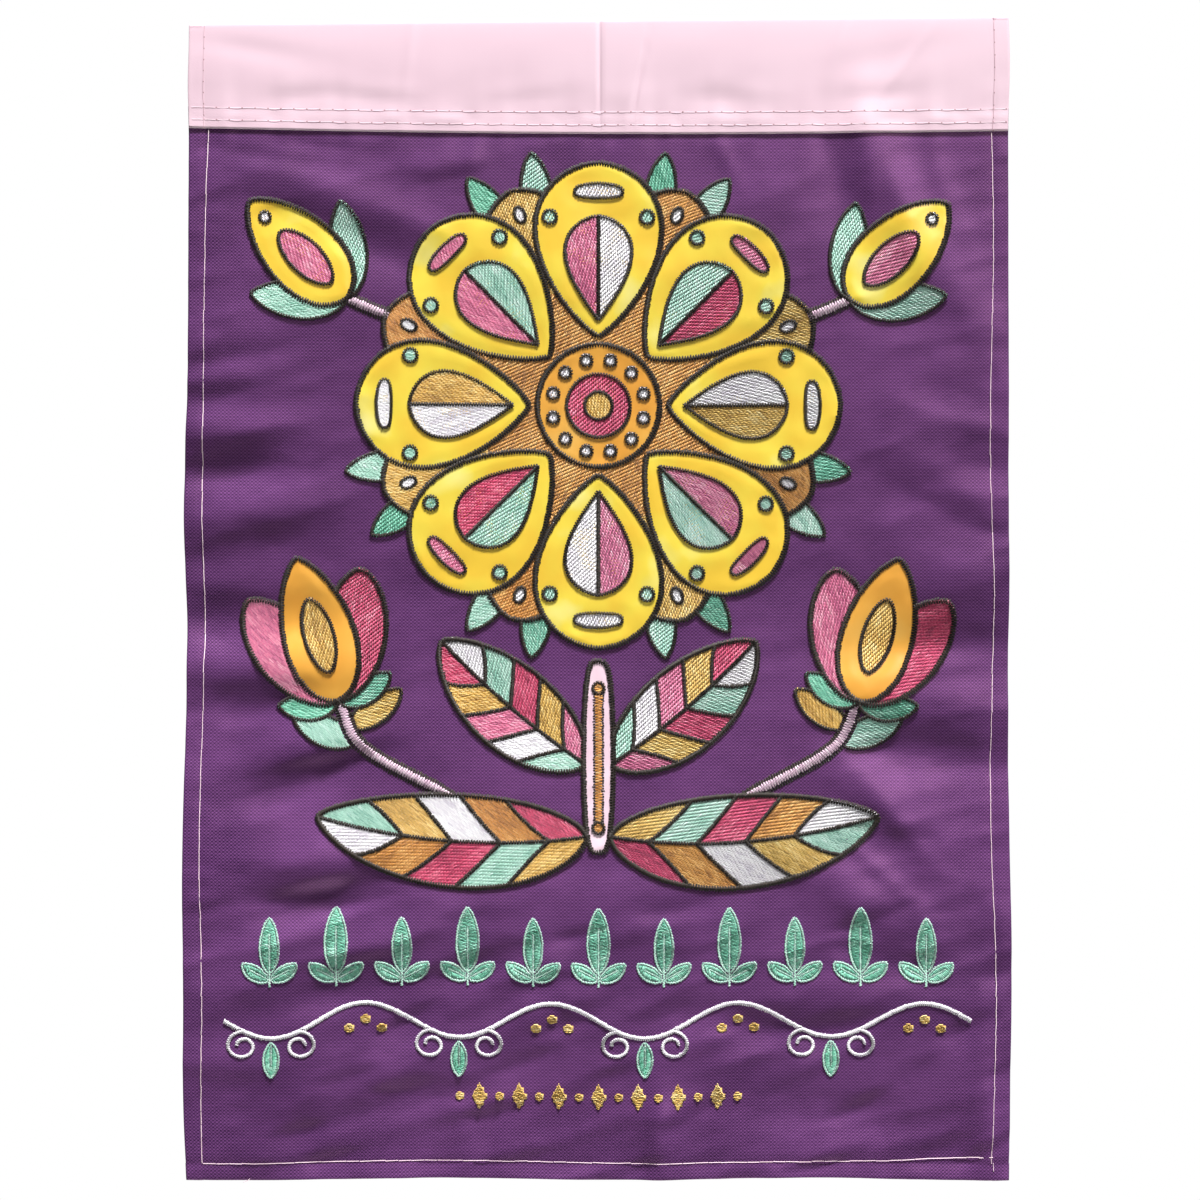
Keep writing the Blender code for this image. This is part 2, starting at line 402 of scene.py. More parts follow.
DRAGS = tuple(Fold.in_mm(*row) for row in (
    # the free margins, where they roll beside the stiff embroidery
    (320, 342, 55, 36, 4.6, 0), (320, 400, 55, 30, -4, 0), (318, 500, 55, 45, 3.6, 0),
    (318, 602, 55, 16, -2.2, 0), (320, 774, 50, 14, 1.4, 0), (320, 808, 50, 16, -1.4, 0),
    (320, 848, 50, 18, 2, 0), (-318, 302, 50, 20, 1.2, 0), (-316, 342, 60, 16, -2.2, 0),
    (-316, 645, 60, 35, -3.6, 0), (-316, 783, 60, 18, 1.7, 0), (-316, 904, 60, 18, 1.5, 0),
    (-300, 990, 80, 25, 1.6, 0),
    # the slow waves that the whole panel hangs in
    (0, 205, 600, 80, 3, 0), (-340, 270, 130, 110, 4.2, 0), (-340, 510, 140, 80, -4, 0),
    (340, 400, 110, 140, 5, 0), (340, 520, 130, 70, -4.4, 0), (0, 545, 200, 90, -2.4, 0),
    (0, 805, 600, 120, 5, -1), (-330, 800, 150, 130, 4, 4), (0, 1020, 600, 95, -4.2, 0),
    # narrow pulls that fan down from the sleeve's seam and in from the hems
    (236, 140, 50, 6, 0.6, -86), (262, 158, 65, 9, 0.8, -74), (296, 146, 55, 8, 0.6, -80),
    (318, 190, 75, 10, 0.8, -70), (112, 124, 24, 5, 1, -64), (-108, 116, 18, 5, 1, 74),
    (-300, 122, 50, 7, -1.2, -8), (-250, 112, 45, 6, -1, -6), (50, 975, 50, 7.5, 1.6, 84),
    (54, 975, 55, 13, 3.2, 92), (110, 985, 30, 7, 1, 80), (-110, 984, 30, 8, 1.2, 82),
    (-285, 980, 35, 8, 1, 60), (262, 700, 50, 8, 1.6, -52), (240, 735, 45, 7, 1.4, -44),
    (190, 905, 70, 8, 1.2, 24), (-330, 300, 60, 9, -1.6, 12), (-225, 650, 50, 8, -1.6, 18),
    (300, 560, 55, 10, 2.2, 8), (30, 905, 70, 8, 1.2, 18), (-150, 950, 80, 8, 1.2, 12),
    (348, 835, 70, 5, 1, 88), (340.5, 975, 50, 11, 4.2, 90),
))

SLEEVE_FOLDS = tuple(Fold.in_mm(*row) for row in (
    (1, 42, 60, 1.6, -1, 90), (34, 60, 50, 1.8, -0.8, 80), (-165, 40, 70, 4, 0.5, 84),
    (205, 30, 50, 3.5, 0.5, 70), (262, 45, 45, 4, 0.5, 52), (-262, 70, 30, 8, -0.8, 8),
    (-195, 71, 40, 8, -0.8, -4), (-60, 70, 34, 8, -0.6, 4), (110, 71, 40, 8, -0.6, -3),
    (240, 70, 36, 8, -0.8, 5), (-300, 25, 50, 10, -0.6, -10), (250, 36, 60, 12, -0.4, 12),
))


def loose_dents(seed: int = 77, step: float = 0.082) -> list[Fold]:
    """The short dents that the slack cloth below the flower falls into, row by row.

    Args:
        seed: Picks where they fall and how they lie.
        step: From one to the next along a row.

    Returns:
        The dents.
    """
    rng = np.random.default_rng(seed)
    made = []
    for row, down in enumerate(np.arange(0.776, 0.992, 0.043)):
        for across in np.arange(-0.345, 0.345, step) + step / 2 * (row % 2):
            shift = rng.normal(0.0, 0.011, 2)
            long, wide, deep, turn, kept = rng.uniform(size=5)
            if kept > 0.22:
                sizes = (0.026 + 0.022 * long, 0.0048 + 0.0034 * wide, 0.0016 + 0.0014 * deep)
                made.append(Fold(across + shift[0], down + shift[1], *sizes, 10 + 20 * turn))
    return made


# Short leaf-shaped places where the cloth falls back sharply below a slack stretch.
DENTS = [Fold.in_mm(*row) for row in (
    (-334, 323, 40, 7, 1.2, 4), (-318, 378, 50, 8, 1.4, 12), (-262, 452, 60, 11, 1.6, -20),
    (-325, 500, 45, 8.5, 1.2, -4), (-290, 578, 75, 7, 1.2, 1), (-240, 642, 50, 5.5, 1.2, 14),
    (-305, 735, 50, 7, 1.2, -8), (-226, 748, 40, 6, 1.2, 12), (-182, 176, 90, 8, 1.8, -18),
    (-132, 133, 33, 6, 1.1, 14), (257, 500, 70, 11, 1.6, -4), (276, 612, 75, 10.5, 2, -18),
    (257, 704, 40, 7.5, 1.4, -4), (330, 360, 32, 8, 1.2, -16), (318, 430, 40, 8, 1, -24),
)] + loose_dents()

STIFF_PLACES = [StiffPlace(0.0, 0.335, 0.215)] + [
    StiffPlace(side * across, down, radius)
    for across, down, radius in (
        (0.236, 0.54, 0.085), (0.245, 0.212, 0.075), (0.08, 0.61, 0.085), (0.14, 0.7, 0.09)
    )
    for side in (-1, 1)
]

# The fine ripples, each with its turn, size, flatness, height and seed.
RIPPLES = (
    (14.0, 0.15, 3.2, 0.002, 54),
    (16.0, 0.085, 3.2, 0.0019, 51),
    (24.0, 0.05, 2.4, 0.0009, 57),
    (-9.0, 0.062, 2.8, 0.0007, 52),
    (34.0, 0.04, 1.9, 0.0004, 53),
)


@dataclass
class HangingCloth:
    """How the flag's cloth hangs: its folds, wandering edges and sagging lines.

    The sizes and the folds are those of the solids, so the dressed flag lies where they do.
    """

    half_width: float
    drop: float
    sleeve_drop: float
    pocket_drop: float = 0.083
    pocket_swell_front: float = 0.0012
    pocket_swell_back: float = 0.02
    pocket_round: float = 0.008
    front_round: float = 0.0022
    pocket_middle: float = 0.0012
    seam_half: float = 0.0022
    hem: float = 0.0135
    edge_inset: float = -0.0012
    left_edge: tuple[Bump, ...] = (
        Bump(0.06, 0.03, 0.001),
        Bump(0.43, 0.09, 0.0043),
        Bump(0.74, 0.16, 0.0052),
        Bump(0.94, 0.08, 0.0038),
    )
    right_edge: tuple[Bump, ...] = (
        Bump(0.04, 0.04, 0.0016),
        Bump(0.5, 0.05, 0.001),
        Bump(0.83, 0.12, 0.0028),
        Bump(0.97, 0.05, 0.0008),
    )
    top_slope: float = 0.0034
    seam_sag: float = 0.0039
    seam_slope: float = 0.0013
    foot_wave: float = 0.001
    foot_wave_at: float = -0.22
    foot_wave_length: float = 0.32
    pucker: float = 0.00045
    stitch_groove: float = 0.0004

    def swell(self, across: Array, down: Array, folds: tuple[Fold, ...]) -> Array:
        """How far a set of folds stands out to the front.

        Args:
            across: Places across the cut.
            down: Places down the cut.
            folds: The folds to add up.

        Returns:
            The height at each place.
        """
        total = np.zeros_like(across)
        for fold in folds:
            run, side = fold.local(across, down)
            total += fold.height * np.exp(-run * run - side * side)
        return total

    def slack(self, across: Array, down: Array) -> Array:
        """How freely the cloth creases, less where embroidery stiffens it.

        Args:
            across: Places across the cut.
            down: Places down the cut.

        Returns:
            1 where the cloth is free, and less where it is stiff.
        """
        free = np.ones_like(across)
        for place in STIFF_PLACES:
            gap = np.hypot(across - place.across, down - place.down) / place.radius
            free = np.minimum(free, 1 - 0.65 * np.exp(-(gap**6)))
        return free

    def creases(self, across: Array, down: Array) -> Array:
        """The tight crease along each fold's lower flank, where the cloth breaks.

        Args:
            across: Places across the cut.
            down: Places down the cut.

        Returns:
            The height at each place.
        """
        total = np.zeros_like(across)
        wander = 0.25 * soft_noise(across, down, 0.03, 70)
        for fold in FOLDS:
            run, side = fold.local(across, down, lean=5, stretch=0.8)
            side = side - 0.55 + wander
            crest = np.exp(-(np.sqrt(side * side + 0.004) - 0.06) / 0.42)
            total += 0.2 * fold.height * np.exp(-run * run) * crest
        return total

    def dents(self, across: Array, down: Array) -> Array:
        """The crisp dents: a straight fall inside a leaf shape, and a slow return below it.

        Args:
            across: Places across the cut.
            down: Places down the cut.

        Returns:
            The height at each place, below 0 in a dent.
        """
        total = np.zeros_like(across)
        for dent in DENTS:
            run, side = dent.local(across, down)
            near = (np.abs(run) < 1.0) & (np.abs(side - 9.0) < 10.5)
            leaf = 1 - run[near] ** 2
            fall = np.clip((side[near] / np.maximum(leaf, 0.05) + 1) / 2, 0.0, 1.0)
            back = np.exp(-np.maximum(side[near] - leaf, 0.0) / 4.5)
            total[near] -= dent.height * leaf * fall * back
        return total

    def side_drift(self, across: Array, down: Array) -> Array:
        """How far places move outwards with the side edges.

        Args:
            across: Places across the cut.
            down: Places down the cut.

        Returns:
            How far to the right each place moves.
        """
        drifts = []
        for bumps in (self.left_edge, self.right_edge):
            reach = np.full_like(down, self.edge_inset)
            for bump in bumps:
                reach += bump.reach * np.exp(-(((down - bump.down) / bump.half_length) ** 2))
            drifts.append(reach)
        return np.where(across < 0, drifts[0], drifts[1]) * (across / self.half_width) ** 3

    def line_drift(self, across: Array, down: Array) -> Array:
        """How far a level line rises.

        Args:
            across: Places across the cut.
            down: Places down the cut.

        Returns:
            How far up each place moves.
        """
        share = across / self.half_width
        top = self.top_slope * share
        seam = self.seam_sag * share**2 - self.seam_slope * share
        foot = self.foot_wave * np.sin(math.tau * (across - self.foot_wave_at) / self.foot_wave_length)
        below = smooth_step(down / self.sleeve_drop)
        lower = np.maximum(down - self.sleeve_drop, 0.0) / (self.drop - self.sleeve_drop)
        return (1 - below) * top + below * ((1 - lower) * seam + lower * foot)

    def puckers(self, across: Array, down: Array) -> Array:
        """The small gathers that the stitching pulls along the seam, the hems and the foot.

        Args:
            across: Places across the cut.
            down: Places down the cut.

        Returns:
            The height at each place.
        """
        total = np.zeros_like(across)
        lines = (
            (down - self.sleeve_drop - 0.004, across, 1.0),
            (self.half_width - self.hem - np.abs(across), down, 0.8),
            (self.drop - self.hem - down, across, 0.8),
        )
        for seed, (gap, along, strength) in enumerate(lines):
            wave = soft_noise(along, np.sign(across) * 0.5 + gap * 0.1, 0.011, 20 + seed)
            wave += 0.7 * soft_noise(along, gap * 0.1, 0.026, 30 + seed)
            total += strength * self.pucker * wave * np.exp(-((gap / 0.012) ** 2))
            total -= self.stitch_groove * np.exp(-((gap / 0.0022) ** 2))
        return total + 0.001 * smooth_step((down - self.drop + self.hem) / self.hem)

    def ripples(self, across: Array, down: Array) -> Array:
        """The finer ripples, sharp along their crests, that mostly rise to the right.

        Args:
            across: Places across the cut.
            down: Places down the cut.

        Returns:
            The height at each place.
        """
        total = np.zeros_like(across)
        for turn, size, flatness, height, seed in RIPPLES:
            run, side = turned(across, down, turn)
            wave = soft_noise(run, side * flatness, size, seed)
            total += height * ((1 - np.abs(wave)) ** 2 - 0.4)
        return total * (0.4 + 0.15 * smooth_step((down - 0.72) / 0.1))

    def hang(self, across: Array, down: Array) -> Array:
        """The front of the panel's cloth.

        Args:
            across: Places across the cut.
            down: Places down the cut.

        Returns:
            One row of x, y, z for each place.
        """
        below = np.maximum(down, self.sleeve_drop)
        free = self.slack(across, below)
        swell = self.creases(across, below) + self.dents(across, below) + self.ripples(across, below)
        swell = swell * free + self.swell(across, below, FOLDS) * (0.45 + 0.55 * free)
        swell += self.swell(across, below, DRAGS) + self.puckers(across, below)
        swell *= smooth_step(down / self.sleeve_drop) ** 2
        x = across + self.side_drift(across, down)
        return np.column_stack([x, -swell, self.line_drift(across, down) - down])

    def pocket_half(self, down: Array, front: bool) -> Array:
        """How far the sleeve stands off its middle layer.

        Args:
            down: Depths below its top edge.
            front: True for its front face, False for its back.

        Returns:
            The distance at each depth.
        """
        share = np.minimum(down / self.pocket_drop, 1.0)
        swell = self.pocket_swell_front if front else self.pocket_swell_back
        depth = self.front_round if front else self.pocket_round
        bulge = swell * np.sin(math.pi * share**0.75)
        rounding = 1 - (1 - np.minimum(down / depth, 1.0)) ** 2
        return (self.seam_half + bulge) * np.sqrt(rounding)


class Face(Enum):
    """The four faces of the flag that a maker sews on, with the side each looks to."""

    PANEL_FRONT = -1
    PANEL_BACK = 1
    SLEEVE_FRONT = -2
    SLEEVE_BACK = 2


@dataclass
class Surface:
    """One face of the hanging flag, on which things are laid by their places on the flat cut."""

    cloth: HangingCloth
    face: Face
    thickness: float = 0.0005
    step: float = 0.0004  # between the places whose slope gives the face's outward way

    @property
    def outward(self) -> float:
        """1 where the face looks to the front, and -1 where it looks to the back."""
        return -math.copysign(1.0, self.face.value)

    def base(self, across: Array, down: Array) -> Array:
        """The face's own points.

        Args:
            across: Places across the cut.
            down: Places down the cut.

        Returns:
            One row of x, y, z for each place.
        """
        points = self.cloth.hang(across, down)
        if self.face is Face.PANEL_BACK:
            points[:, 1] += self.thickness
        elif self.face in (Face.SLEEVE_FRONT, Face.SLEEVE_BACK):
            dents = self.cloth.swell(across, down, SLEEVE_FOLDS) + self.seam_puckers(across, down)
            half = self.cloth.pocket_half(down, self.outward > 0) + dents
            points[:, 1] += self.cloth.pocket_middle - self.outward * half
        return points

    def seam_puckers(self, across: Array, down: Array) -> Array:
        """The gathers of the sleeve between its two rows of stitches, and its softer waves above.

        Args:
            across: Places across the cut.
            down: Places down the cut.

        Returns:
            The height at each place.
        """
        wave = soft_noise(across, down * 0.2, 0.017, 41) + 0.6 * soft_noise(across, down * 0.2, 0.008, 42)
        between = np.exp(-(((down - 0.0875) / 0.0055) ** 2))
        above = np.exp(-(((down - 0.066) / 0.016) ** 2))
        waves = 0.00045 * wave * between + 0.0003 * soft_noise(across, down * 1.6, 0.03, 43) * above
        return waves + 0.00012 * soft_noise(across, down * 1.5, 0.05, 44) * smooth_step(down / 0.03)

    def lay(self, across: Array, down: Array, out: Array) -> Array:
        """Lays places on the face.

        Args:
            across: Places across the cut.
            down: Places down the cut.
            out: How far each stands off the face.

        Returns:
            One row of x, y, z for each place.
        """
        here = self.base(across, down)
        right = self.base(across + self.step, down) - here
        below = self.base(across, down + self.step) - here
        normal = np.cross(below, right) * self.outward
        return here + normal / np.linalg.norm(normal, axis=1)[:, None] * out[:, None]


# ---- finishes


def shaded(
    tree: bpy.types.NodeTree,
    value: bpy.types.NodeSocket,
    shades: tuple[str, str, str],
    spans: tuple[tuple[float, float], tuple[float, float]],
    gleam: float = 1.0,
) -> bpy.types.NodeSocket:
    """Takes a finish from its deep shade to its plain and its pale one as a value rises. The deep shade is
    painted shade and the pale one a painted gleam.

    Args:
        tree: The material's tree.
        value: What rises.
        shades: The deep, the plain and the pale shade.
        spans: From where to where it rises to the plain shade, and then to the pale one.
        gleam: How much of the pale shade, the painted gleam, shows at the end.

    Returns:
        The colour.
    """
    colour = linear(shades[0])
    for (start, end), shade, most in zip(spans, shades[1:], (1.0, gleam)):
        reach = {"Value": value, "From Min": start, "From Max": end, "To Max": most}
        share = add_node(tree, "MapRange", reach)
        colour = add_node(
            tree, "Mix", {0: share, 6: colour, 7: linear(shade)}, out=2, data_type="RGBA"
        )
    return colour


@dataclass(frozen=True)
class WovenPolyester:
    """Polyester oxford, woven from bright filament and heat-set: flat, with a slanting grain.

    The filament gives the folds a pale silky gleam, and the crossing yarns give fine dots in rows.
    The yarns are drawn about five times as coarse as they are, so that they show.
    """

    name: str
    shade: str
    deep: str
    sheen_shade: str
    grain_strength: float
    roughness: float
    sheen: float
    grain_mm: float = 2.9
    wave_period: float = 0.314  # of the wave texture at scale 1, in metres

    @cache
    def material(self) -> bpy.types.Material:
        """Makes the material once, its grain laid by the cut's own UV map.

        Returns:
            The material.
        """
        made, tree, shader = new_material(self.name)
        cut = add_node(tree, "UVMap", {}, uv_map="cut")
        waved = {"Distortion": 0.7, "Detail": 1.0}
        warp, weft = (
            add_node(
                tree,
                "TexWave",
                {"Vector": cut, "Scale": self.wave_period / (self.grain_mm * MM * size)} | waved,
                out="Fac",
                wave_type="BANDS",
                bands_direction=way,
            )
            for way, size in (("X", 1.12), ("Y", 1.0))
        )
        crossed = add_node(tree, "Math", {0: warp, 1: weft}, operation="SUBTRACT")
        apart = add_node(tree, "Math", {0: crossed}, operation="ABSOLUTE")
        checks = add_node(tree, "MapRange", {"Value": apart, "From Min": 0.1, "From Max": 0.6})
        slanted = {"Vector": cut, "Scale": (90.0, 520.0, 1.0), "Rotation": (0, 0, 0.12)}
        stretched = add_node(tree, "Mapping", slanted)
        fine = {"Vector": stretched, "Scale": 1.0, "Detail": 1.0}
        slubs = add_node(tree, "TexNoise", fine, out="Fac")
        rows = add_node(tree, "Mix", {0: 0.22, 2: checks, 3: weft})
        grain = add_node(tree, "Mix", {0: 0.22, 2: rows, 3: slubs})
        tone = add_node(tree, "Math", {0: grain, 1: self.grain_strength}, operation="MULTIPLY")
        cloudy = {"Vector": cut, "Scale": 9.0, "Detail": 4.0, "Roughness": 0.6}
        clouds = add_node(tree, "TexNoise", cloudy, out="Fac")
        drifting = {"Value": clouds, "From Min": 0.35, "From Max": 0.65, "To Min": -0.1, "To Max": 0.1}
        drift = add_node(tree, "MapRange", drifting)
        mixed = add_node(tree, "Math", {0: tone, 1: drift}, operation="ADD", use_clamp=True)
        shades = {0: mixed, 6: linear(self.deep), 7: linear(self.shade)}
        raised = {"Strength": self.grain_strength * 0.4, "Distance": 0.25 * MM, "Height": rows}
        looks = {
            "Base Color": add_node(tree, "Mix", shades, out=2, data_type="RGBA"),
            "Normal": add_node(tree, "Bump", raised),
            "Roughness": self.roughness,
            "Specular IOR Level": 0.7,
            "Specular Tint": linear(self.sheen_shade),
            "Sheen Weight": self.sheen,
            "Sheen Roughness": 0.45,
            "Sheen Tint": linear(self.sheen_shade),
        }
        feed(tree, shader, looks)
        return made


@dataclass(frozen=True)
class PolyesterSatin:
    """Polyester satin: long floats of bright filament, so it is smooth and gleams where it curves. Noise also
    lays soft patches of its deep and pale shades, as painted shade and a painted gleam.
    """

    name: str
    shade: str
    deep: str
    pale: str

    @cache
    def material(self) -> bpy.types.Material:
        """Makes the material once, its floats running down the cut.

        Returns:
            The material.
        """
        made, tree, shader = new_material(self.name)
        cut = add_node(tree, "UVMap", {}, uv_map="cut")
        stretched = add_node(tree, "Mapping", {"Vector": cut, "Scale": (900.0, 90.0, 1.0)})
        fine = {"Vector": stretched, "Scale": 1.0, "Detail": 1.0}
        floats = add_node(tree, "TexNoise", fine, out="Fac")
        # Painted shade and painted gleam: noise picks where the satin's deep and pale shades lie.
        cloudy = {"Vector": cut, "Scale": 16.0, "Detail": 2.5, "Roughness": 0.5}
        clouds = add_node(tree, "TexNoise", cloudy, out="Fac")
        shades, spans = (self.deep, self.shade, self.pale), ((0.4, 0.66), (0.58, 0.78))
        raised = {"Strength": 0.1, "Distance": 0.15 * MM, "Height": floats}
        looks = {
            "Base Color": shaded(tree, clouds, shades, spans, gleam=0.8),
            "Normal": add_node(tree, "Bump", raised),
            "Roughness": 0.34,
            "Specular IOR Level": 0.5,
            "Sheen Weight": 0.15,
        }
        feed(tree, shader, looks)
        return made


@dataclass(frozen=True)
class EmbroideryThread:
    """Trilobal polyester thread: glossy filament. Its deep shade is painted shade, on the underlay that shows
    between the stitches, and its pale shade is a painted glint.
    """

    name: str
    shade: str
    deep: str
    pale: str
    roughness: float = 0.42
    gloss: float = 0.5

    @cache
    def material(self) -> bpy.types.Material:
        """Makes the material once. Each stitch's own tone comes from the mesh's attribute, which mixes random
        tone with painted shade and painted glints.

        Returns:
            The material.
        """
        made, tree, shader = new_material(self.name)
        tone = add_node(tree, "Attribute", {}, out="Fac", attribute_name="tone")
        shades, spans = (self.deep, self.shade, self.pale), ((0.0, 0.5), (0.5, 1.0))
        looks = {
            "Base Color": shaded(tree, tone, shades, spans),
            "Roughness": self.roughness,
            "Specular IOR Level": self.gloss,
            "Sheen Weight": 0.4 * self.gloss,
        }
        feed(tree, shader, looks)
        return made


class Spool(Enum):
    """The threads on the machine."""

    # Each thread: its plain shade, a deep one that paints shade and a pale one that paints a glint.
    WHITE = EmbroideryThread("white_thread", "#f8f5f7", "#dad3dd", "#ffffff")
    BLUSH = EmbroideryThread("blush_thread", "#e6c6d8", "#bf97b0", "#f6e3ec")
    PINK = EmbroideryThread("pink_thread", "#ea84a9", "#bc5580", "#f9bdd0")
    MAGENTA = EmbroideryThread("magenta_thread", "#dc4a76", "#a93158", "#f08ba5")
    MINT = EmbroideryThread("mint_thread", "#b9e2d1", "#8cc1ae", "#def3ea")
    SEA_GREEN = EmbroideryThread("sea_green_thread", "#84d0b4", "#52a386", "#b6e8d3")
    GOLD = EmbroideryThread("gold_thread", "#e9c063", "#b58a3a", "#fbe29c")
    OCHRE = EmbroideryThread("ochre_thread", "#dd9c48", "#a66c2b", "#f5c77c")
    ORANGE = EmbroideryThread("orange_thread", "#f6ac52", "#d88a3a", "#fdd698")
    DARK = EmbroideryThread("dark_brown_thread", "#281e15", "#140d08", "#41352a", 0.5, 0.3)
    # The seam thread's deep shade paints the shade in the needle holes, and darkens the sleeve's end seams
    # into a painted shadow line.
    SEAM_PINK = EmbroideryThread("seam_pink_thread", "#fadce7", "#b98e96", "#fdeaf0")


PANEL_CLOTH = WovenPolyester("purple_polyester_oxford", "#824e8c", "#200c30", "#e8a4d4", 0.92, 0.36, 0.0)
SLEEVE_CLOTH = WovenPolyester("pink_polyester_oxford", "#fbdfea", "#f8d5e3", "#ffffff", 0.16, 0.42, 0.1)
# Each satin: its plain shade, its deep one as painted shade and its pale one as a painted gleam.
SATINS = {
    "yellow_satin": PolyesterSatin("yellow_polyester_satin", "#ffea50", "#fbcf3c", "#fff5a8"),
    "orange_satin": PolyesterSatin("orange_polyester_satin", "#f6b548", "#eda43a", "#fbc768"),
    "pink_satin": PolyesterSatin("pink_polyester_satin", "#fadfea", "#f2cddd", "#fff0f5"),
}


# ---- sheets of cloth


@dataclass
class Sheet:
    """A sheet of cloth on a grid, with its cut kept as a UV map."""

    name: str
    columns: Array
    rows: Array
    thickness: float = 0.0005

    def build(self, place: Placer, cut: Placer | None = None) -> Piece:
        """Makes the sheet.

        Args:
            place: Gives x, y, z rows for the grid's columns and rows.
            cut: Gives the flat cut's across and down rows for them, where they aren't that already.

        Returns:
            The sheet, with its thickness behind its outer face.
        """
        deselect()
        wide, tall = len(self.columns), len(self.rows)
        bpy.ops.mesh.primitive_grid_add(x_subdivisions=wide - 1, y_subdivisions=tall - 1, size=2)
        piece = bpy.context.object
        piece.name = piece.data.name = self.name
        mesh = piece.data
        flat = np.empty(len(mesh.vertices) * 3)
        mesh.vertices.foreach_get("co", flat)
        flat = flat.reshape(-1, 3)
        column = np.rint((flat[:, 0] + 1) / 2 * (wide - 1)).astype(int)
        row = np.rint((flat[:, 1] + 1) / 2 * (tall - 1)).astype(int)
        across, down = self.columns[column], self.rows[::-1][row]
        mesh.vertices.foreach_set("co", place(across, down).ravel())
        flat_cut = cut(across, down) if cut else np.column_stack([across, down])
        corner = np.empty(len(mesh.loops), dtype=int)
        mesh.loops.foreach_get("vertex_index", corner)
        while mesh.uv_layers:
            mesh.uv_layers.remove(mesh.uv_layers[0])
        layer = mesh.uv_layers.new(name="cut")
        layer.data.foreach_set("uv", (flat_cut[corner] * (1, -1)).ravel())
        mesh.update()
        mesh.shade_smooth()
        solid = piece.modifiers.new("cloth", "SOLIDIFY")
        solid.thickness = self.thickness
        solid.offset = -1.0
        pick(piece)
        bpy.ops.object.modifier_apply(modifier=solid.name)
        return piece


def mirrored(steps: Array) -> Array:
    """The steps on both sides of 0, which they start with."""
    return np.concatenate([-steps[:0:-1], steps])


def turned_under(places: Array, edge: float, depth: float) -> tuple[Array, Array]:
    """Takes places past an edge round a half turn and back behind the cloth, as a hem goes.

    Args:
        places: Signed places, measured along the cloth.
        edge: Where the cloth turns.
        depth: How far behind the front layer the turned one lies.

    Returns:
        The places as seen from the front, and how far behind the front layer each lies.
    """
    past = np.maximum(np.abs(places) - edge, 0.0)
    round_way = math.pi * depth / 2
    angle = np.minimum(past / round_way, 1.0) * math.pi
    seen = np.minimum(np.abs(places), edge) + np.sin(angle) * depth / 2
    seen -= np.maximum(past - round_way, 0.0)
    return np.sign(places) * seen, (1 - np.cos(angle)) * depth / 2


def hemmed_steps(edge: float, step: float, hem: float, depth: float) -> Array:
    """Even steps up to an edge, close ones round it, and a few along the turned hem.

    Args:
        edge: Half the finished width.
        step: The wide step.
        hem: The hem's width.
        depth: How far behind the front layer the hem lies.

    Returns:
        The steps from the middle to the hem's raw edge, for the positive side.
    """
    flat = np.linspace(0.0, edge - hem - 0.001, int(round((edge - hem) / step)))
    border = np.linspace(edge - hem, edge - 0.0015, 5)
    bend = edge + np.linspace(0.0, math.pi * depth / 2, 5)
    back = bend[-1] + np.linspace(hem / 4, hem, 4)
    return np.concatenate([flat, border, bend, back])


@dataclass
class Panel:
    """The purple panel: one sheet, turned under down both sides and along the foot."""

    cloth: HangingCloth
    column_step: float = 0.0052
    row_step: float = 0.0038
    hem_depth: float = 0.0016
    top_in_seam: float = 0.08

    def place(self, across: Array, down: Array) -> Array:
        """Hems and hangs the flat cut.

        Args:
            across: Places across the cut.
            down: Places down the cut.

        Returns:
            One row of x, y, z for each place.
        """
        seen_across, behind_side = turned_under(across, self.cloth.half_width, self.hem_depth)
        seen_down, behind_foot = turned_under(down, self.cloth.drop, self.hem_depth)
        points = self.cloth.hang(seen_across, seen_down)
        points[:, 1] += behind_side + behind_foot
        return points

    def build(self) -> None:
        """Makes the panel, keeps its flat cut as a UV map and hides the imported panel."""
        side = hemmed_steps(self.cloth.half_width, self.column_step, self.cloth.hem, self.hem_depth)
        foot = hemmed_steps(self.cloth.drop, self.row_step, self.cloth.hem, self.hem_depth)
        rows = foot[foot > self.top_in_seam]
        piece = Sheet("hemmed_panel", mirrored(side), rows).build(self.place)
        hand_over(piece, PANEL_CLOTH.material())
        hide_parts("flag_panel")


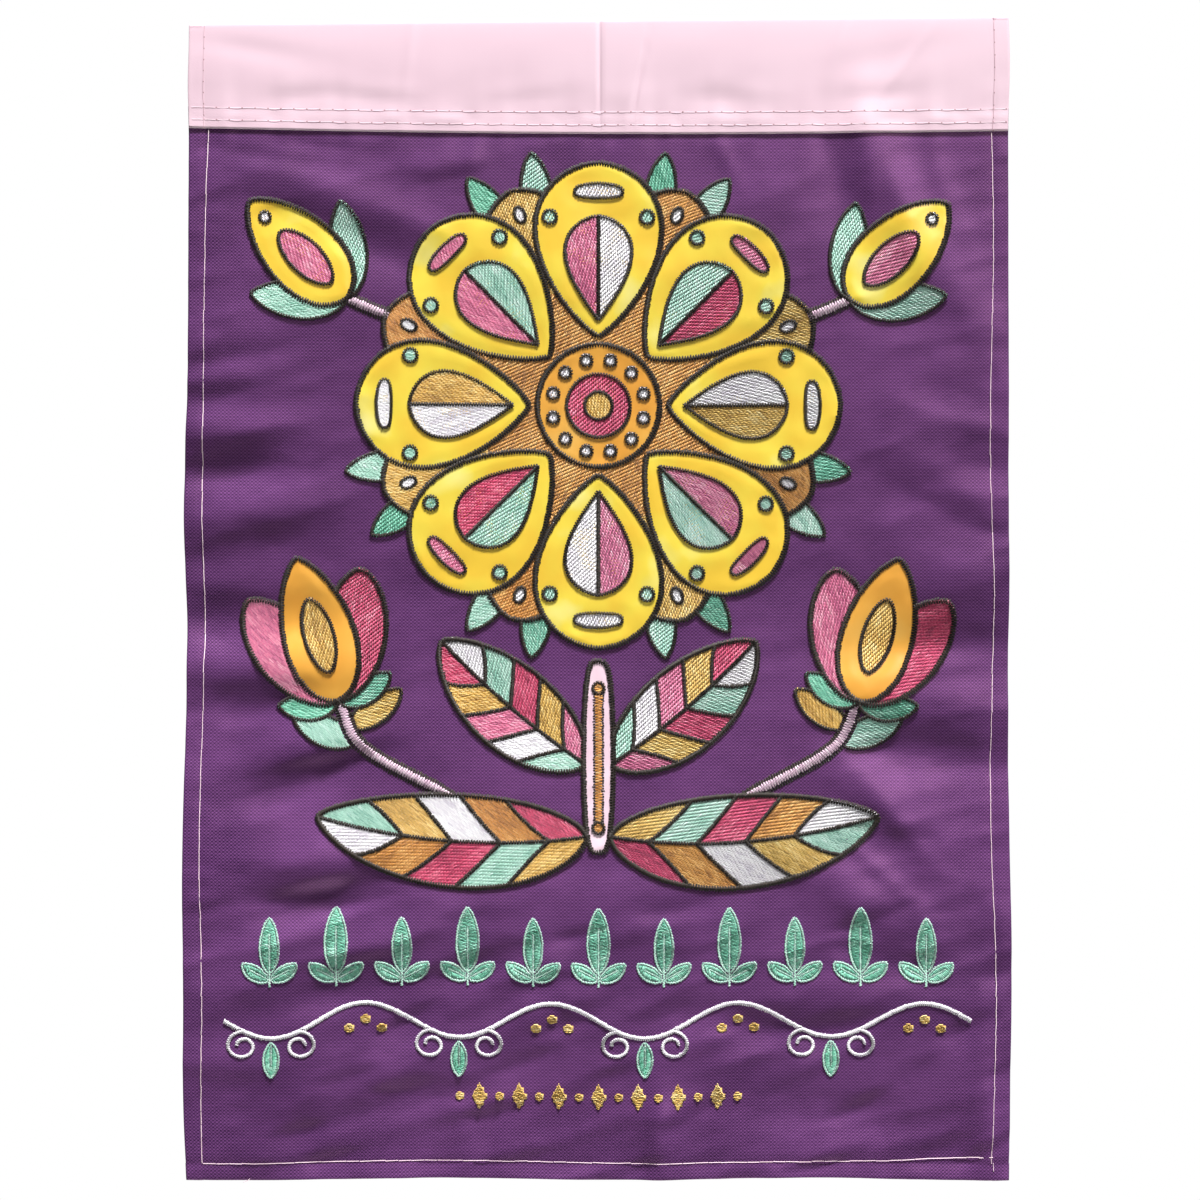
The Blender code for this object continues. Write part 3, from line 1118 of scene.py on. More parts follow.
@dataclass
class Sleeve:
    """The pink pole sleeve: one strip over the top edge, its ends turned under inside the pocket."""

    cloth: HangingCloth
    column_step: float = 0.0036
    hem_depth: float = 0.001
    pocket_steps: int = 26
    seam_steps: int = 9
    creases: tuple[float, ...] = (0.001, 0.0345)
    crease_steps: tuple[float, ...] = (-0.0024, -0.0016, -0.0008, 0.0, 0.0008, 0.0016, 0.0024)
    seam_loss: float = 0.012  # what the strip's two raw edges take up inside the seam

    def depths(self) -> Array:
        """How far down each row of the strip lies, below 0 on the back.

        Returns:
            The depths, in order along the strip.
        """
        turn = np.linspace(0.0, math.pi / 2, self.pocket_steps)
        pocket = self.cloth.pocket_drop * (1 - np.cos(turn))
        seam = np.linspace(self.cloth.pocket_drop, self.cloth.sleeve_drop, self.seam_steps)[1:]
        return mirrored(np.concatenate([pocket, seam]))

    def place(self, across: Array, depth: Array) -> Array:
        """Folds, hems and hangs the strip.

        Args:
            across: Places across the strip.
            depth: How far down each lies, below 0 on the back.

        Returns:
            One row of x, y, z for each place.
        """
        seen, behind = turned_under(across, self.cloth.half_width, self.hem_depth)
        down = np.abs(depth)
        front = Surface(self.cloth, Face.SLEEVE_FRONT).base(seen, down)
        back = Surface(self.cloth, Face.SLEEVE_BACK).base(seen, down)
        points = np.where(depth[:, None] >= 0, front, back)
        level = np.minimum(down / self.cloth.pocket_round, 1.0)
        points[:, 1] += np.where(depth >= 0, 1.0, -1.0) * behind * level
        points[:, 2] -= behind * (1 - level)
        return points

    def build(self) -> None:
        """Makes the sleeve, keeps its flat cut as a UV map and hides the imported sleeve."""
        side = hemmed_steps(self.cloth.half_width, self.column_step, self.cloth.hem, self.hem_depth)
        columns = mirrored(side)
        for crease in self.creases:
            close = crease + np.array(self.crease_steps)
            kept = columns[np.abs(columns - crease) > 0.003]
            columns = np.sort(np.concatenate([kept, close]))
        piece = Sheet("sewn_sleeve", columns, self.depths()).build(self.place)
        hand_over(piece, SLEEVE_CLOTH.material())
        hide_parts("pole_sleeve")


# ---- shapes on the flat cut


@dataclass(frozen=True)
class Blade:
    """A petal, leaf or strip that grows from its root, wide where `fullest` says."""

    across: float
    down: float
    turn: float
    length: float
    width: float
    fullest: float = 0.5
    point: float = 0.5  # 0.5 gives round ends, 1 gives pointed ones
    bend: float = 0.0  # degrees that it turns clockwise from root to tip

    def half(self, share: Array) -> Array:
        """Half its width at each share of its length."""
        risen = np.clip(share, 0.0, 1.0) ** (math.log(0.5) / math.log(self.fullest))
        return self.width / 2 * (4 * risen * (1 - risen)) ** self.point

    def at(self, share: Array | float, side: Array | float) -> Array:
        """Places on it.

        Args:
            share: How far from root to tip, 0 to 1.
            side: How far from its middle line to its edge, -1 to 1.

        Returns:
            One (across, down) row for each place.
        """
        share, side = np.broadcast_arrays(np.atleast_1d(share).astype(float), side)
        angle = math.radians(self.turn) + math.radians(self.bend) * (share - 0.5)
        sine, cosine = np.sin(angle), np.cos(angle)
        if abs(self.bend) < 0.01:
            middle = np.column_stack([sine, -cosine]) * (share * self.length)[:, None]
        else:
            radius = self.length / math.radians(self.bend)
            start = math.radians(self.turn - self.bend / 2)
            middle = radius * np.column_stack([math.cos(start) - cosine, math.sin(start) - sine])
        step = np.column_stack([cosine, sine]) * (side * self.half(share))[:, None]
        return np.array([self.across, self.down]) + middle + step

    def outline(self, steps: int = 44) -> Array:
        """Its edge, clockwise from its root."""
        share = eased(steps + 1)
        return np.vstack([self.at(share, -1.0), self.at(share[-2:0:-1], 1.0)])


def disc(across: float, down: float, radius: float, steps: int = 40) -> Array:
    """A round outline."""
    angle = np.linspace(0.0, math.tau, steps, endpoint=False)
    return np.column_stack([across + radius * np.sin(angle), down - radius * np.cos(angle)])


# ---- stitches


@dataclass
class StitchForm:
    """One stitch, modelled once: a three-sided thread, 1 long, 1 wide and 1 high."""

    corners: Array
    faces: Array

    @classmethod
    def model(cls, pointed: bool) -> "StitchForm":
        """Models the stitch from a three-sided cylinder.

        Args:
            pointed: True to draw both ends out to points, False to leave them square.

        Returns:
            The form, with its corners as (along, side, up).
        """
        deselect()
        bpy.ops.mesh.primitive_cylinder_add(
            vertices=3,
            radius=0.5,
            depth=0.72 if pointed else 1.0,
            end_fill_type="TRIFAN" if pointed else "NGON",
            rotation=(0, math.pi / 2, 0),
        )
        piece = bpy.context.object
        bpy.ops.object.transform_apply(location=False, rotation=True, scale=False)
        bpy.ops.object.mode_set(mode="EDIT")
        bpy.ops.mesh.select_all(action="SELECT")
        bpy.ops.mesh.normals_make_consistent(inside=False)
        bpy.ops.mesh.quads_convert_to_tris()
        bpy.ops.object.mode_set(mode="OBJECT")
        mesh = piece.data
        corners = np.array([vertex.co[:] for vertex in mesh.vertices])
        faces = np.array([polygon.vertices[:] for polygon in mesh.polygons])
        bpy.data.objects.remove(piece, do_unlink=True)
        tips = np.hypot(corners[:, 1], corners[:, 2]) < 0.01
        corners[:, 0] += 0.5
        corners[tips, 0] = np.rint(corners[tips, 0])
        corners[:, 2] = (corners[:, 2] - corners[:, 2].min()) / np.ptp(corners[:, 2])
        corners[tips, 2] = 0.1
        return cls(corners, faces)


Forms = tuple[StitchForm, StitchForm]  # the pointed stitch and the plain one


@dataclass
class Stitches:
    """Stitches of one thread, gathered as rows of numbers before they are made a mesh.

    A row holds where the stitch starts and ends, its width, its lift, its height, whether it is plain,
    and its tone.
    """

    taper: float = 0.0007
    rows: list[Array] = field(default_factory=list)

    def add(
        self,
        start: Array,
        end: Array,
        width: float,
        lift: float,
        rise: float,
        tone: Array,
        plain: bool = False,
    ) -> None:
        """Adds stitches of one thickness.

        Args:
            start: Where each starts.
            end: Where each ends.
            width: How wide they are.
            lift: How far they stand off the cloth.
            rise: How high they are.
            tone: How light each is, 0 to 1.
            plain: True for hidden or coarse stitches, which get square ends.
        """
        sizes = np.broadcast_to([width, lift, rise, plain], (len(start), 4))
        self.rows.append(np.column_stack([start, end, sizes, np.clip(tone, 0.0, 1.0)]))

    def points(self, surface: Surface, form: StitchForm, rows: Array) -> Array:
        """Places the corners of stitches.

        Args:
            surface: The face that they are sewn on.
            form: The one stitch to copy.
            rows: The stitches.

        Returns:
            One row of x, y, z for each corner, stitch by stitch.
        """
        start, end = rows[:, 0:2], rows[:, 2:4]
        widths, lifts, rises = rows[:, 4], rows[:, 5], rows[:, 6]
        way = end - start
        length = np.maximum(np.hypot(way[:, 0], way[:, 1]), 1e-6)
        aside = sideways(way) / length[:, None] * surface.outward
        along, side, up = form.corners.T
        share = np.repeat(along[None, :], len(start), axis=0)
        shoulder = (along > 0.01) & (along < 0.99)
        taper = np.minimum(self.taper / length, 0.3)[:, None]
        share[:, shoulder] = 0.5 + np.sign(along[shoulder] - 0.5) * (0.5 - taper)
        flat = start[:, None] + share[:, :, None] * way[:, None]
        flat = flat + side[None, :, None] * (aside * widths[:, None])[:, None]
        out = lifts[:, None] + up[None] * rises[:, None]
        return surface.lay(flat[..., 0].ravel(), flat[..., 1].ravel(), out.ravel())

    def build(self, name: str, surface: Surface, forms: Forms) -> Piece:
        """Makes one mesh of all the stitches.

        Args:
            name: The piece's name.
            surface: The face that they are sewn on.
            forms: The pointed stitch and the plain one.

        Returns:
            The piece.
        """
        rows = np.vstack(self.rows)
        plain = rows[:, 7] > 0
        points, faces, tones, base = [], [], [], 0
        for form, chosen in zip(forms, (rows[~plain], rows[plain])):
            if len(chosen):
                corners = len(form.corners)
                points.append(self.points(surface, form, chosen))
                first = base + corners * np.arange(len(chosen))
                faces.append((form.faces[None] + first[:, None, None]).reshape(-1, 3))
                tones.append(np.repeat(chosen[:, 8], corners))
                base += corners * len(chosen)
        points, faces = np.vstack(points), np.vstack(faces)
        mesh = bpy.data.meshes.new(name)
        mesh.vertices.add(len(points))
        mesh.vertices.foreach_set("co", points.astype(np.float32).ravel())
        mesh.loops.add(faces.size)
        mesh.loops.foreach_set("vertex_index", faces.astype(np.int32).ravel())
        mesh.polygons.add(len(faces))
        mesh.polygons.foreach_set("loop_start", np.arange(0, faces.size, 3, dtype=np.int32))
        mesh.update(calc_edges=True)
        tone = mesh.attributes.new("tone", "FLOAT", "POINT")
        tone.data.foreach_set("value", np.concatenate(tones).astype(np.float32))
        mesh.shade_smooth()
        return new_object(name, mesh)


@dataclass
class Patch:
    """One shape of the embroidery: filled with thread, or satin with only its border sewn."""

    edge: Array
    spool: Spool | None
    turn: float = 0.0
    bow: float = 0.0
    border: float = 0.0032
    covers: bool = True  # False for a bare outline sewn over other patches
    lift: float = 0.0
    line: Array | None = None  # an open path sewn as a column, in place of an outline
    line_width: float = 0.0

    def meets(self, other: "Patch") -> bool:
        """True where the two shapes' boxes meet."""
        low, other_low = self.edge.min(axis=0), other.edge.min(axis=0)
        return bool((low < other.edge.max(axis=0)).all() and (other_low < self.edge.max(axis=0)).all())

    def middle(self) -> float:
        """Where its corners' mean lies along its rows."""
        return float((self.edge @ ways(self.turn)[0]).mean())

    def to_rows(self, edge: Array) -> Array:
        """Takes an outline to the patch's bowed rows.

        Args:
            edge: The outline.

        Returns:
            One (along, across) row for each corner.
        """
        along, aside = ways(self.turn)
        run = edge @ along
        return np.column_stack([run, edge @ aside - self.bow * (run - self.middle()) ** 2])

    def from_rows(self, run: Array, side: Array) -> Array:
        """Takes points on the patch's bowed rows back to the cut.

        Args:
            run: How far along the rows each point lies.
            side: How far across them it lies.

        Returns:
            One (across, down) row for each point.
        """
        along, aside = ways(self.turn)
        side = side + self.bow * (run - self.middle()) ** 2
        return run[:, None] * along + side[:, None] * aside


def column_edge(path: Array, width: float) -> Array:
    """The outline of a column of stitches along a path.

    Args:
        path: Its middle line.
        width: How wide it is.

    Returns:
        The outline.
    """
    places, way = resample(path, 0.002, False)
    aside = sideways(way) * width / 2
    return np.vstack([places + aside, (places - aside)[::-1]])


def crossings(edge: Array, row: float) -> list[float]:
    """Where a row crosses an outline, in order.

    Args:
        edge: The outline's places along and across the rows.
        row: The row's place across them.

    Returns:
        The places along the row.
    """
    run, side = edge.T
    next_run, next_side = np.roll(edge, -1, axis=0).T
    hit = (side > row) != (next_side > row)
    share = (row - side[hit]) / (next_side[hit] - side[hit])
    return sorted(run[hit] + share * (next_run[hit] - run[hit]))


@dataclass
class Embroidery:
    """The machine: it takes patches in sewing order and lays their stitches."""

    seed: int
    row_pitch: float = 0.00125
    stitch_length: float = 0.0054
    thread_width: float = 0.00135
    border_pitch: float = 0.00118
    under_pitch: float = 0.0029
    coarse: bool = False
    shortest_run: float = 0.0006
    shortest_stitch: float = 0.0018
    longest_under: float = 0.0105
    height: float = 0.0006
    stagger: float = 0.382  # of a stitch's length, from each row to the next
    wobble: float = 0.00017  # how unevenly the rows lie
    overrun: float = 0.0002  # how far a stitch runs past its place
    under_inset: float = 0.0003
    # the underlay's deep tone is painted shade between the fill's rows
    underlay_shade_tone: float = 0.25
    patches: list[Patch] = field(default_factory=list)
    sewn: dict[Spool, Stitches] = field(default_factory=dict)

    def __post_init__(self) -> None:
        """Starts the machine's own random numbers."""
        self.rng = np.random.default_rng(self.seed)

    def stitches(self, spool: Spool) -> Stitches:
        """The stitches so far of one thread."""
        return self.sewn.setdefault(spool, Stitches())

    def rows(self, patch: Patch, above: list[Patch], pitch: float) -> list[tuple[float, float, float]]:
        """Finds the runs of a fill, row by row, left out where later patches cover it.

        Args:
            patch: The patch to fill.
            above: The patches that lie over it.
            pitch: The step from row to row.

        Returns:
            For each run its row's side place, and where it starts and ends along the row.
        """
        own = patch.to_rows(patch.edge)
        over = [patch.to_rows(other.edge) for other in above]
        found = []
        for row in np.arange(own[:, 1].min() + pitch / 2, own[:, 1].max(), pitch):
            marks = crossings(own, row)
            runs = list(zip(marks[::2], marks[1::2]))
            for edge in over:
                cuts = crossings(edge, row)
                for low, high in zip(cuts[::2], cuts[1::2]):
                    pieces = [(a, min(b, low)) for a, b in runs] + [(max(a, high), b) for a, b in runs]
                    runs = [(a, b) for a, b in pieces if b > a]
            found += [(float(row), float(a), float(b)) for a, b in runs if b - a > self.shortest_run]
        return found

    def fill(self, patch: Patch, above: list[Patch]) -> None:
        """Sews a patch's fill: staggered rows of stitches that bow with the shape.

        Args:
            patch: The patch to fill.
            above: The patches that lie over it.
        """
        spans = []
        for row, low, high in self.rows(patch, above, self.row_pitch):
            offset = (round(row / self.row_pitch) * self.stagger) % 1.0 * self.stitch_length
            first = math.ceil((low - offset) / self.stitch_length)
            last = math.floor((high - offset) / self.stitch_length)
            kept = [low]
            for mark in (offset + k * self.stitch_length for k in range(first, last + 1)):
                if min(mark - kept[-1], high - mark) > self.shortest_stitch:
                    kept.append(mark)
            kept.append(high)
            spans += [(row, a, b) for a, b in zip(kept, kept[1:])]
        if not spans:
            return
        row, low, high = np.array(spans).T
        wobble = self.rng.normal(0.0, self.wobble, (2, len(row)))
        start = patch.from_rows(low - self.overrun, row + wobble[0])
        end = patch.from_rows(high + self.overrun, row + wobble[1])
        centre = (start + end) / 2
        # Painted sheen: soft patches and bands along the rows make the stitches lighter and darker as the
        # thread's gleam would fall, on top of each stitch's random tone.
        clouds = soft_noise(centre[:, 0], centre[:, 1], 0.016, self.seed + 3)
        painted_sheen_streaks = soft_noise(row * 1.0, low * 0.12, 0.006, self.seed + 5)
        tone = 0.47 + 0.2 * clouds + 0.18 * painted_sheen_streaks + self.rng.normal(0.0, 0.19, len(row))
        made = self.stitches(patch.spool)
        made.add(start, end, self.thread_width, patch.lift + 0.0003, self.height, tone, self.coarse)
        if self.under_pitch:
            self.underlay(patch, above)

    def underlay(self, patch: Patch, above: list[Patch]) -> None:
        """Sews the flat padding under a fill, across it, so that no cloth shows between its rows. Its deep
        tone paints the shade between them.

        Args:
            patch: The filled patch.
            above: The patches that lie over it.
        """
        under = Patch(patch.edge, patch.spool, patch.turn + 90)
        spans = self.rows(under, above, self.under_pitch)
        if not spans:
            return
        row, low, high = np.array(spans).T
        start = under.from_rows(low + self.under_inset, row)
        end = under.from_rows(high - self.under_inset, row)
        first, last = self.split(start, end, self.longest_under)
        tone = np.full(len(first), self.underlay_shade_tone)
        wide = self.under_pitch * 1.35
        self.stitches(patch.spool).add(first, last, wide, patch.lift + 0.0001, 0.0003, tone, True)

    @staticmethod
    def split(start: Array, end: Array, longest: float) -> tuple[Array, Array]:
        """Cuts long stitches into shorter ones that can follow the cloth.

        Args:
            start: Where each starts.
            end: Where each ends.
            longest: The longest that one may be.

        Returns:
            Where the shorter ones start and end, each a little over the next.
        """
        counts = np.maximum(np.ceil(np.hypot(*(end - start).T) / longest), 1).astype(int)
        index = np.repeat(np.arange(len(start)), counts)
        order = np.arange(len(index)) - np.repeat(np.cumsum(counts) - counts, counts)
        step = ((end - start) / counts[:, None])[index]
        first = start[index] + step * order[:, None]
        before = step * np.where(order > 0, 0.06, 0.0)[:, None]
        after = step * np.where(order < counts[index] - 1, 0.06, 0.0)[:, None]
        return first - before, first + step + after

    def column(
        self,
        path: Array,
        closed: bool,
        width: float,
        spool: Spool,
        above: list[Patch],
        lift: float,
        clear: float,
        rise: float = 0.0006,
    ) -> None:
        """Sews satin stitch along a path, each stitch across it and cut short at what hides it.

        Args:
            path: The path's points.
            closed: True for an outline.
            width: How wide the column is.
            spool: The thread.
            above: The patches that hide it.
            lift: How far it stands off the cloth.
            clear: How wide the strip is that those patches may hide, or 0 to test its middle alone.
            rise: How high its stitches are.
        """
        pitch = self.border_pitch * (0.74 if spool is Spool.WHITE and not self.coarse else 1.0)
        places, way = resample(path, pitch, closed)
        aside = sideways(way)
        parts = np.linspace(-0.5, 0.5, 9) if clear else np.zeros(1)
        covered = np.zeros((len(parts), len(places)), dtype=bool)
        for other in above:
            for row, part in enumerate(parts):
                spot = places + aside * clear * part
                covered[row] |= inside(spot[:, 0], spot[:, 1], other.edge)
        first = parts[np.argmax(~covered, axis=0)]
        last = parts[::-1][np.argmax(~covered[::-1], axis=0)]
        shown = ~covered.all(axis=0) & ((last - first > 0.2) | (clear == 0.0))
        places, way, aside = places[shown], way[shown], aside[shown]
        if not len(places):
            return
        zigzag = np.where(np.arange(len(places)) % 2, 0.3, -0.3) * pitch
        sides = np.array([np.minimum(-first[shown], 0.5), np.minimum(last[shown], 0.5)]) if clear else 0.5
        reach = width * sides + self.rng.normal(0.0, min(0.00032, width * 0.06), (2, len(places)))
        start = places - aside * reach[0][:, None] - way * zigzag[:, None]
        end = places + aside * reach[1][:, None] + way * zigzag[:, None]
        tone = 0.46 + self.rng.normal(0.0, 0.2, len(places))
        plain = self.coarse or spool in (Spool.DARK, Spool.WHITE)
        self.stitches(spool).add(start, end, pitch * 1.14, lift, rise, tone, plain)

    def sew(self) -> None:
        """Sews every patch: its fill, then its border, under the patches that come later."""
        for number, patch in enumerate(self.patches):
            later = self.patches[number + 1 :]
            above = [other for other in later if other.covers and patch.meets(other)]
            if patch.line is not None:
                wide = patch.line_width + 2 * patch.border
                if patch.border:
                    self.column(patch.line, False, wide, Spool.DARK, above, patch.lift + 0.0002, wide, 0.0004)
                lift = patch.lift + (0.0007 if patch.border else 0.0004)
                self.column(patch.line, False, patch.line_width, patch.spool, above, lift, wide)
                continue
            if patch.spool is not None:
                self.fill(patch, above)
            if patch.border:
                lift = patch.lift + 0.0008
                self.column(patch.edge, True, patch.border, Spool.DARK, above, lift, 0.0)

    def reverse(self) -> "Embroidery":
        """The same patches as the bobbin lays them on the back: flat to the cloth and coarser.

        Returns:
            The machine of the back, its patches sewn.
        """
        back = Embroidery(
            self.seed + 100,
            row_pitch=0.003,
            stitch_length=0.011,
            thread_width=0.0031,
            border_pitch=0.0026,
            under_pitch=0.0,
            coarse=True,
        )
        back.patches = [replace(patch, lift=0.0) for patch in self.patches]
        back.sew()
        return back

    def build(self, name: str, surface: Surface, forms: Forms) -> None:
        """Makes one piece for each thread that was used.

        Args:
            name: The start of the pieces' names.
            surface: The face that they are sewn on.
            forms: The pointed stitch and the plain one.
        """
        for spool, stitches in self.sewn.items():
            piece = stitches.build(f"{name}_{spool.value.name}", surface, forms)
            hand_over(piece, spool.value.material())


# ---- the design


OUTER_BORDER = 0.0048
INNER_BORDER = 0.0032
SMALL_BORDER = 0.0028


@dataclass
class SatinPiece:
    """A satin applique piece and its CAD node."""

    node: str
    blade: Blade
    slot: str
    on_it: list[Patch] = field(default_factory=list)
    lift: float = 0.00035
    pillow: float = 0.0003
    thickness: float = 0.0003

    def place(self, share_across: Array, share_down: Array, surface: Surface) -> Array:
        """Puffs the piece up between the stitching that holds it down.

        Args:
            share_across: Places from its middle line to its edge, -1 to 1.
            share_down: Places from its root to its tip, 0 to 1.
            surface: The face that it lies on.

        Returns:
            One row of x, y, z for each place.
        """
        across, down = self.blade.at(share_down, share_across).T
        gap = np.minimum((1 - np.abs(share_across)) * self.blade.half(share_down), 0.05)
        for patch in self.on_it:
            near = distance_to(across, down, patch.edge)
            near[inside(across, down, patch.edge)] = 0.0
            gap = np.minimum(gap, near)
        puff = 1 - np.exp(-((np.maximum(gap - 0.0024, 0.0) / 0.007) ** 2))
        pulls = soft_noise(across, down, 0.009, 61) * np.exp(-gap / 0.006)
        waves = soft_noise(across, down, 0.024, 62)
        breaks = (1 - np.abs(soft_noise(across - down * 0.4, down * 1.5, 0.026, 63))) ** 3
        out = self.lift + self.pillow * puff * (1 + 0.5 * waves) + 0.00012 * pulls
        return surface.lay(across, down, out + 0.0003 * breaks * puff)

    def build(self, surface: Surface) -> None:
        """Makes the piece, puffed between the stitching that holds it down.

        Args:
            surface: The face that it lies on.
        """
        side = np.sin(np.linspace(-math.pi / 2, math.pi / 2, 25))
        piece = Sheet(f"{self.node}_satin", side, eased(45), self.thickness).build(
            lambda across, down: self.place(across, down, surface),
            lambda across, down: self.blade.at(down, across),
        )
        pick(piece)
        bpy.ops.object.mode_set(mode="EDIT")
        bpy.ops.mesh.select_all(action="SELECT")
        bpy.ops.mesh.remove_doubles(threshold=0.00002)
        bpy.ops.object.mode_set(mode="OBJECT")
        hand_over(piece, SATINS[self.slot].material())
        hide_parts(self.node)
        (x, y), (next_x, next_y) = self.blade.outline().T, np.roll(self.blade.outline(), -1, axis=0).T


@dataclass
class Motif:
    """A sub-assembly of the design: its satin pieces and its embroidery."""

    name: str
    seed: int
    satins: list[SatinPiece] = field(default_factory=list)

    def __post_init__(self) -> None:
        """Sets up the machine for this motif."""
        self.machine = Embroidery(self.seed)

    def patch(self, edge: Array, spool: Spool | None, turn: float, border: float, bow: float = 0.0) -> Patch:
        """Adds a patch to the sewing order.

        Args:
            edge: Its outline.
            spool: The thread that fills it, or None.
            turn: Which way its rows run.
            border: How wide its dark border is, or 0.
            bow: How much its rows curve.

        Returns:
            The patch.
        """
        made = Patch(edge, spool, turn, bow, border)
        self.machine.patches.append(made)
        return made

    def outline(self, edge: Array, border: float) -> None:
        """Adds a bare outline, which hides nothing that it runs round."""
        self.machine.patches.append(Patch(edge, None, border=border, covers=False))

    def line(self, path: Array, spool: Spool, width: float, border: float = 0.0) -> Patch:
        """Adds a column of satin stitch to the sewing order.

        Args:
            path: Its middle line.
            spool: Its thread.
            width: How wide it is.
            border: How far its dark border stands out on each side, or 0.

        Returns:
            The patch.
        """
        edge = column_edge(path, width + 2 * border)
        made = Patch(edge, spool, border=border, line=path, line_width=width)
        self.machine.patches.append(made)
        return made

    def satin(self, node: str, blade: Blade, slot: str) -> SatinPiece:
        """Adds a satin piece with its dark border.

        Args:
            node: Its CAD node.
            blade: Its shape.
            slot: Which satin finish it takes.

        Returns:
            The piece.
        """
        made = SatinPiece(node, blade, slot)
        self.satins.append(made)
        self.patch(blade.outline(), None, 0.0, OUTER_BORDER)
        return made

    def on_satin(self, piece: SatinPiece, edge: Array, spool: Spool, turn: float, border: float) -> None:
        """Adds a patch that is sewn on a satin piece and presses it down.

        Args:
            piece: The satin piece.
            edge: The patch's outline.
            spool: The thread that fills it.
            turn: Which way its rows run.
            border: How wide its dark border is.
        """
        made = self.patch(edge, spool, turn, border)
        made.lift = 0.0004
        piece.on_it.append(made)

    def build(self, front: Surface, back: Surface, forms: Forms) -> None:
        """Sews the motif and makes its pieces.

        Args:
            front: The panel's decorated face.
            back: Its other face, on which the bobbin thread shows.
            forms: The pointed stitch and the plain one.
        """
        for piece in self.satins:
            piece.build(front)
        self.machine.sew()
        self.machine.build(self.name, front, forms)
        self.machine.reverse().build(f"{self.name}_back", back, forms)


@dataclass
class Bloom(Motif):
    """The great flower: thread petals behind, satin petals before, panes and beads on each."""

    across: float = 0.0
    down: float = 0.335
    petals: int = 8
    bare: tuple[int, ...] = (1, 6)  # the places where the foliage leaves no room for sepals

    def outwards(self, turn: float, radius: float) -> tuple[float, float]:
        """The place at this turn and distance from the flower's middle."""
        along, _ = ways(turn)
        return self.across + along[0] * radius, self.down + along[1] * radius

    def back_petals(self) -> None:
        """The sepals, and the eight thread petals that show between the satin ones."""
        turns = [360 / self.petals * (k + 0.5) for k in range(self.petals)]
        for k, turn in enumerate(turns):
            for lean, spool in ((-9.0, Spool.SEA_GREEN), (9.0, Spool.MINT)):
                root = self.outwards(turn + lean * 0.55, 0.165)
                sepal = Blade(*root, turn + lean * 1.6, 0.062, 0.026, 0.46, 0.75)
                if k not in self.bare:
                    self.patch(sepal.outline(), spool, turn + lean * 5, INNER_BORDER)
        for k, turn in enumerate(turns):
            petal = Blade(*self.outwards(turn, 0.1), turn, 0.1, 0.09, 0.45, 0.6)
            spool = Spool.GOLD if k % 2 else Spool.OCHRE
            self.patch(petal.outline(), spool, turn + 8, OUTER_BORDER, 3.0)
            for shift, radius, length, spool in (
                (0.0, 0.178, 0.014, Spool.WHITE),
                (-9.0, 0.162, 0.01, Spool.MAGENTA),
                (9.0, 0.162, 0.01, Spool.MINT),
            ):
                bead = Blade(*self.outwards(turn + shift * 0.8, radius - 0.007), turn + shift, length, 0.009)
                self.patch(bead.outline(20), spool, turn, SMALL_BORDER)

    def throat(self) -> None:
        """The thread ground under the satin petals' roots."""
        self.patch(disc(self.across, self.down, 0.104), Spool.OCHRE, 35, 0.0)

    def satin_petals(self) -> None:
        """The eight satin petals, each with a pane of two threads and beads near its tip."""
        panes = (
            (Spool.PINK, Spool.WHITE),
            (Spool.MINT, Spool.MAGENTA),
            (Spool.WHITE, Spool.GOLD),
            (Spool.PINK, Spool.MINT),
        )
        share = eased(30)
        for k in range(self.petals):
            turn = 360 / self.petals * k
            blade = Blade(*self.outwards(turn, 0.06), turn, 0.15, 0.11, 0.62, 0.55)
            piece = self.satin(f"petal_{k + 1}", blade, "yellow_satin")
            pane = Blade(*self.outwards(turn, 0.074), turn, 0.09, 0.058, 0.66, 0.6)
            for side, spool in zip((-1.0, 1.0), panes[k % 4]):
                edge = np.vstack([pane.at(share, side), pane.at(share[::-1], 0.0)])
                self.on_satin(piece, edge, spool, turn + side * 16, INNER_BORDER)
            bean = Blade(*self.outwards(turn - 6.4, 0.186), turn + 90, 0.042, 0.013, 0.5, 0.34, 12.0)
            self.on_satin(piece, bean.outline(30), (Spool.WHITE, Spool.PINK)[k % 2], turn, SMALL_BORDER)
            for shift in (-14.5, 14.5):
                bead = disc(*self.outwards(turn + shift, 0.1685), 0.006, 22)
                self.on_satin(piece, bead, Spool.MINT, turn, SMALL_BORDER)

    def heart(self) -> None:
        """The satin disc in the middle with its ring of beads and its eye."""
        blade = Blade(self.across, self.down + 0.053, 0, 0.106, 0.106)
        piece = self.satin("bloom_heart", blade, "orange_satin")
        for k in range(12):
            bead = disc(*self.outwards(30 * k + 15, 0.0405), 0.005, 20)
            self.on_satin(piece, bead, Spool.WHITE, 0, SMALL_BORDER)
        self.on_satin(piece, disc(self.across, self.down, 0.0275), Spool.MAGENTA, 20, INNER_BORDER)
        self.on_satin(piece, disc(self.across, self.down, 0.012), Spool.GOLD, -25, SMALL_BORDER)

    def design(self) -> None:
        """Puts the flower's patches in sewing order."""
        self.back_petals()
        self.throat()
        self.satin_petals()
        self.heart()


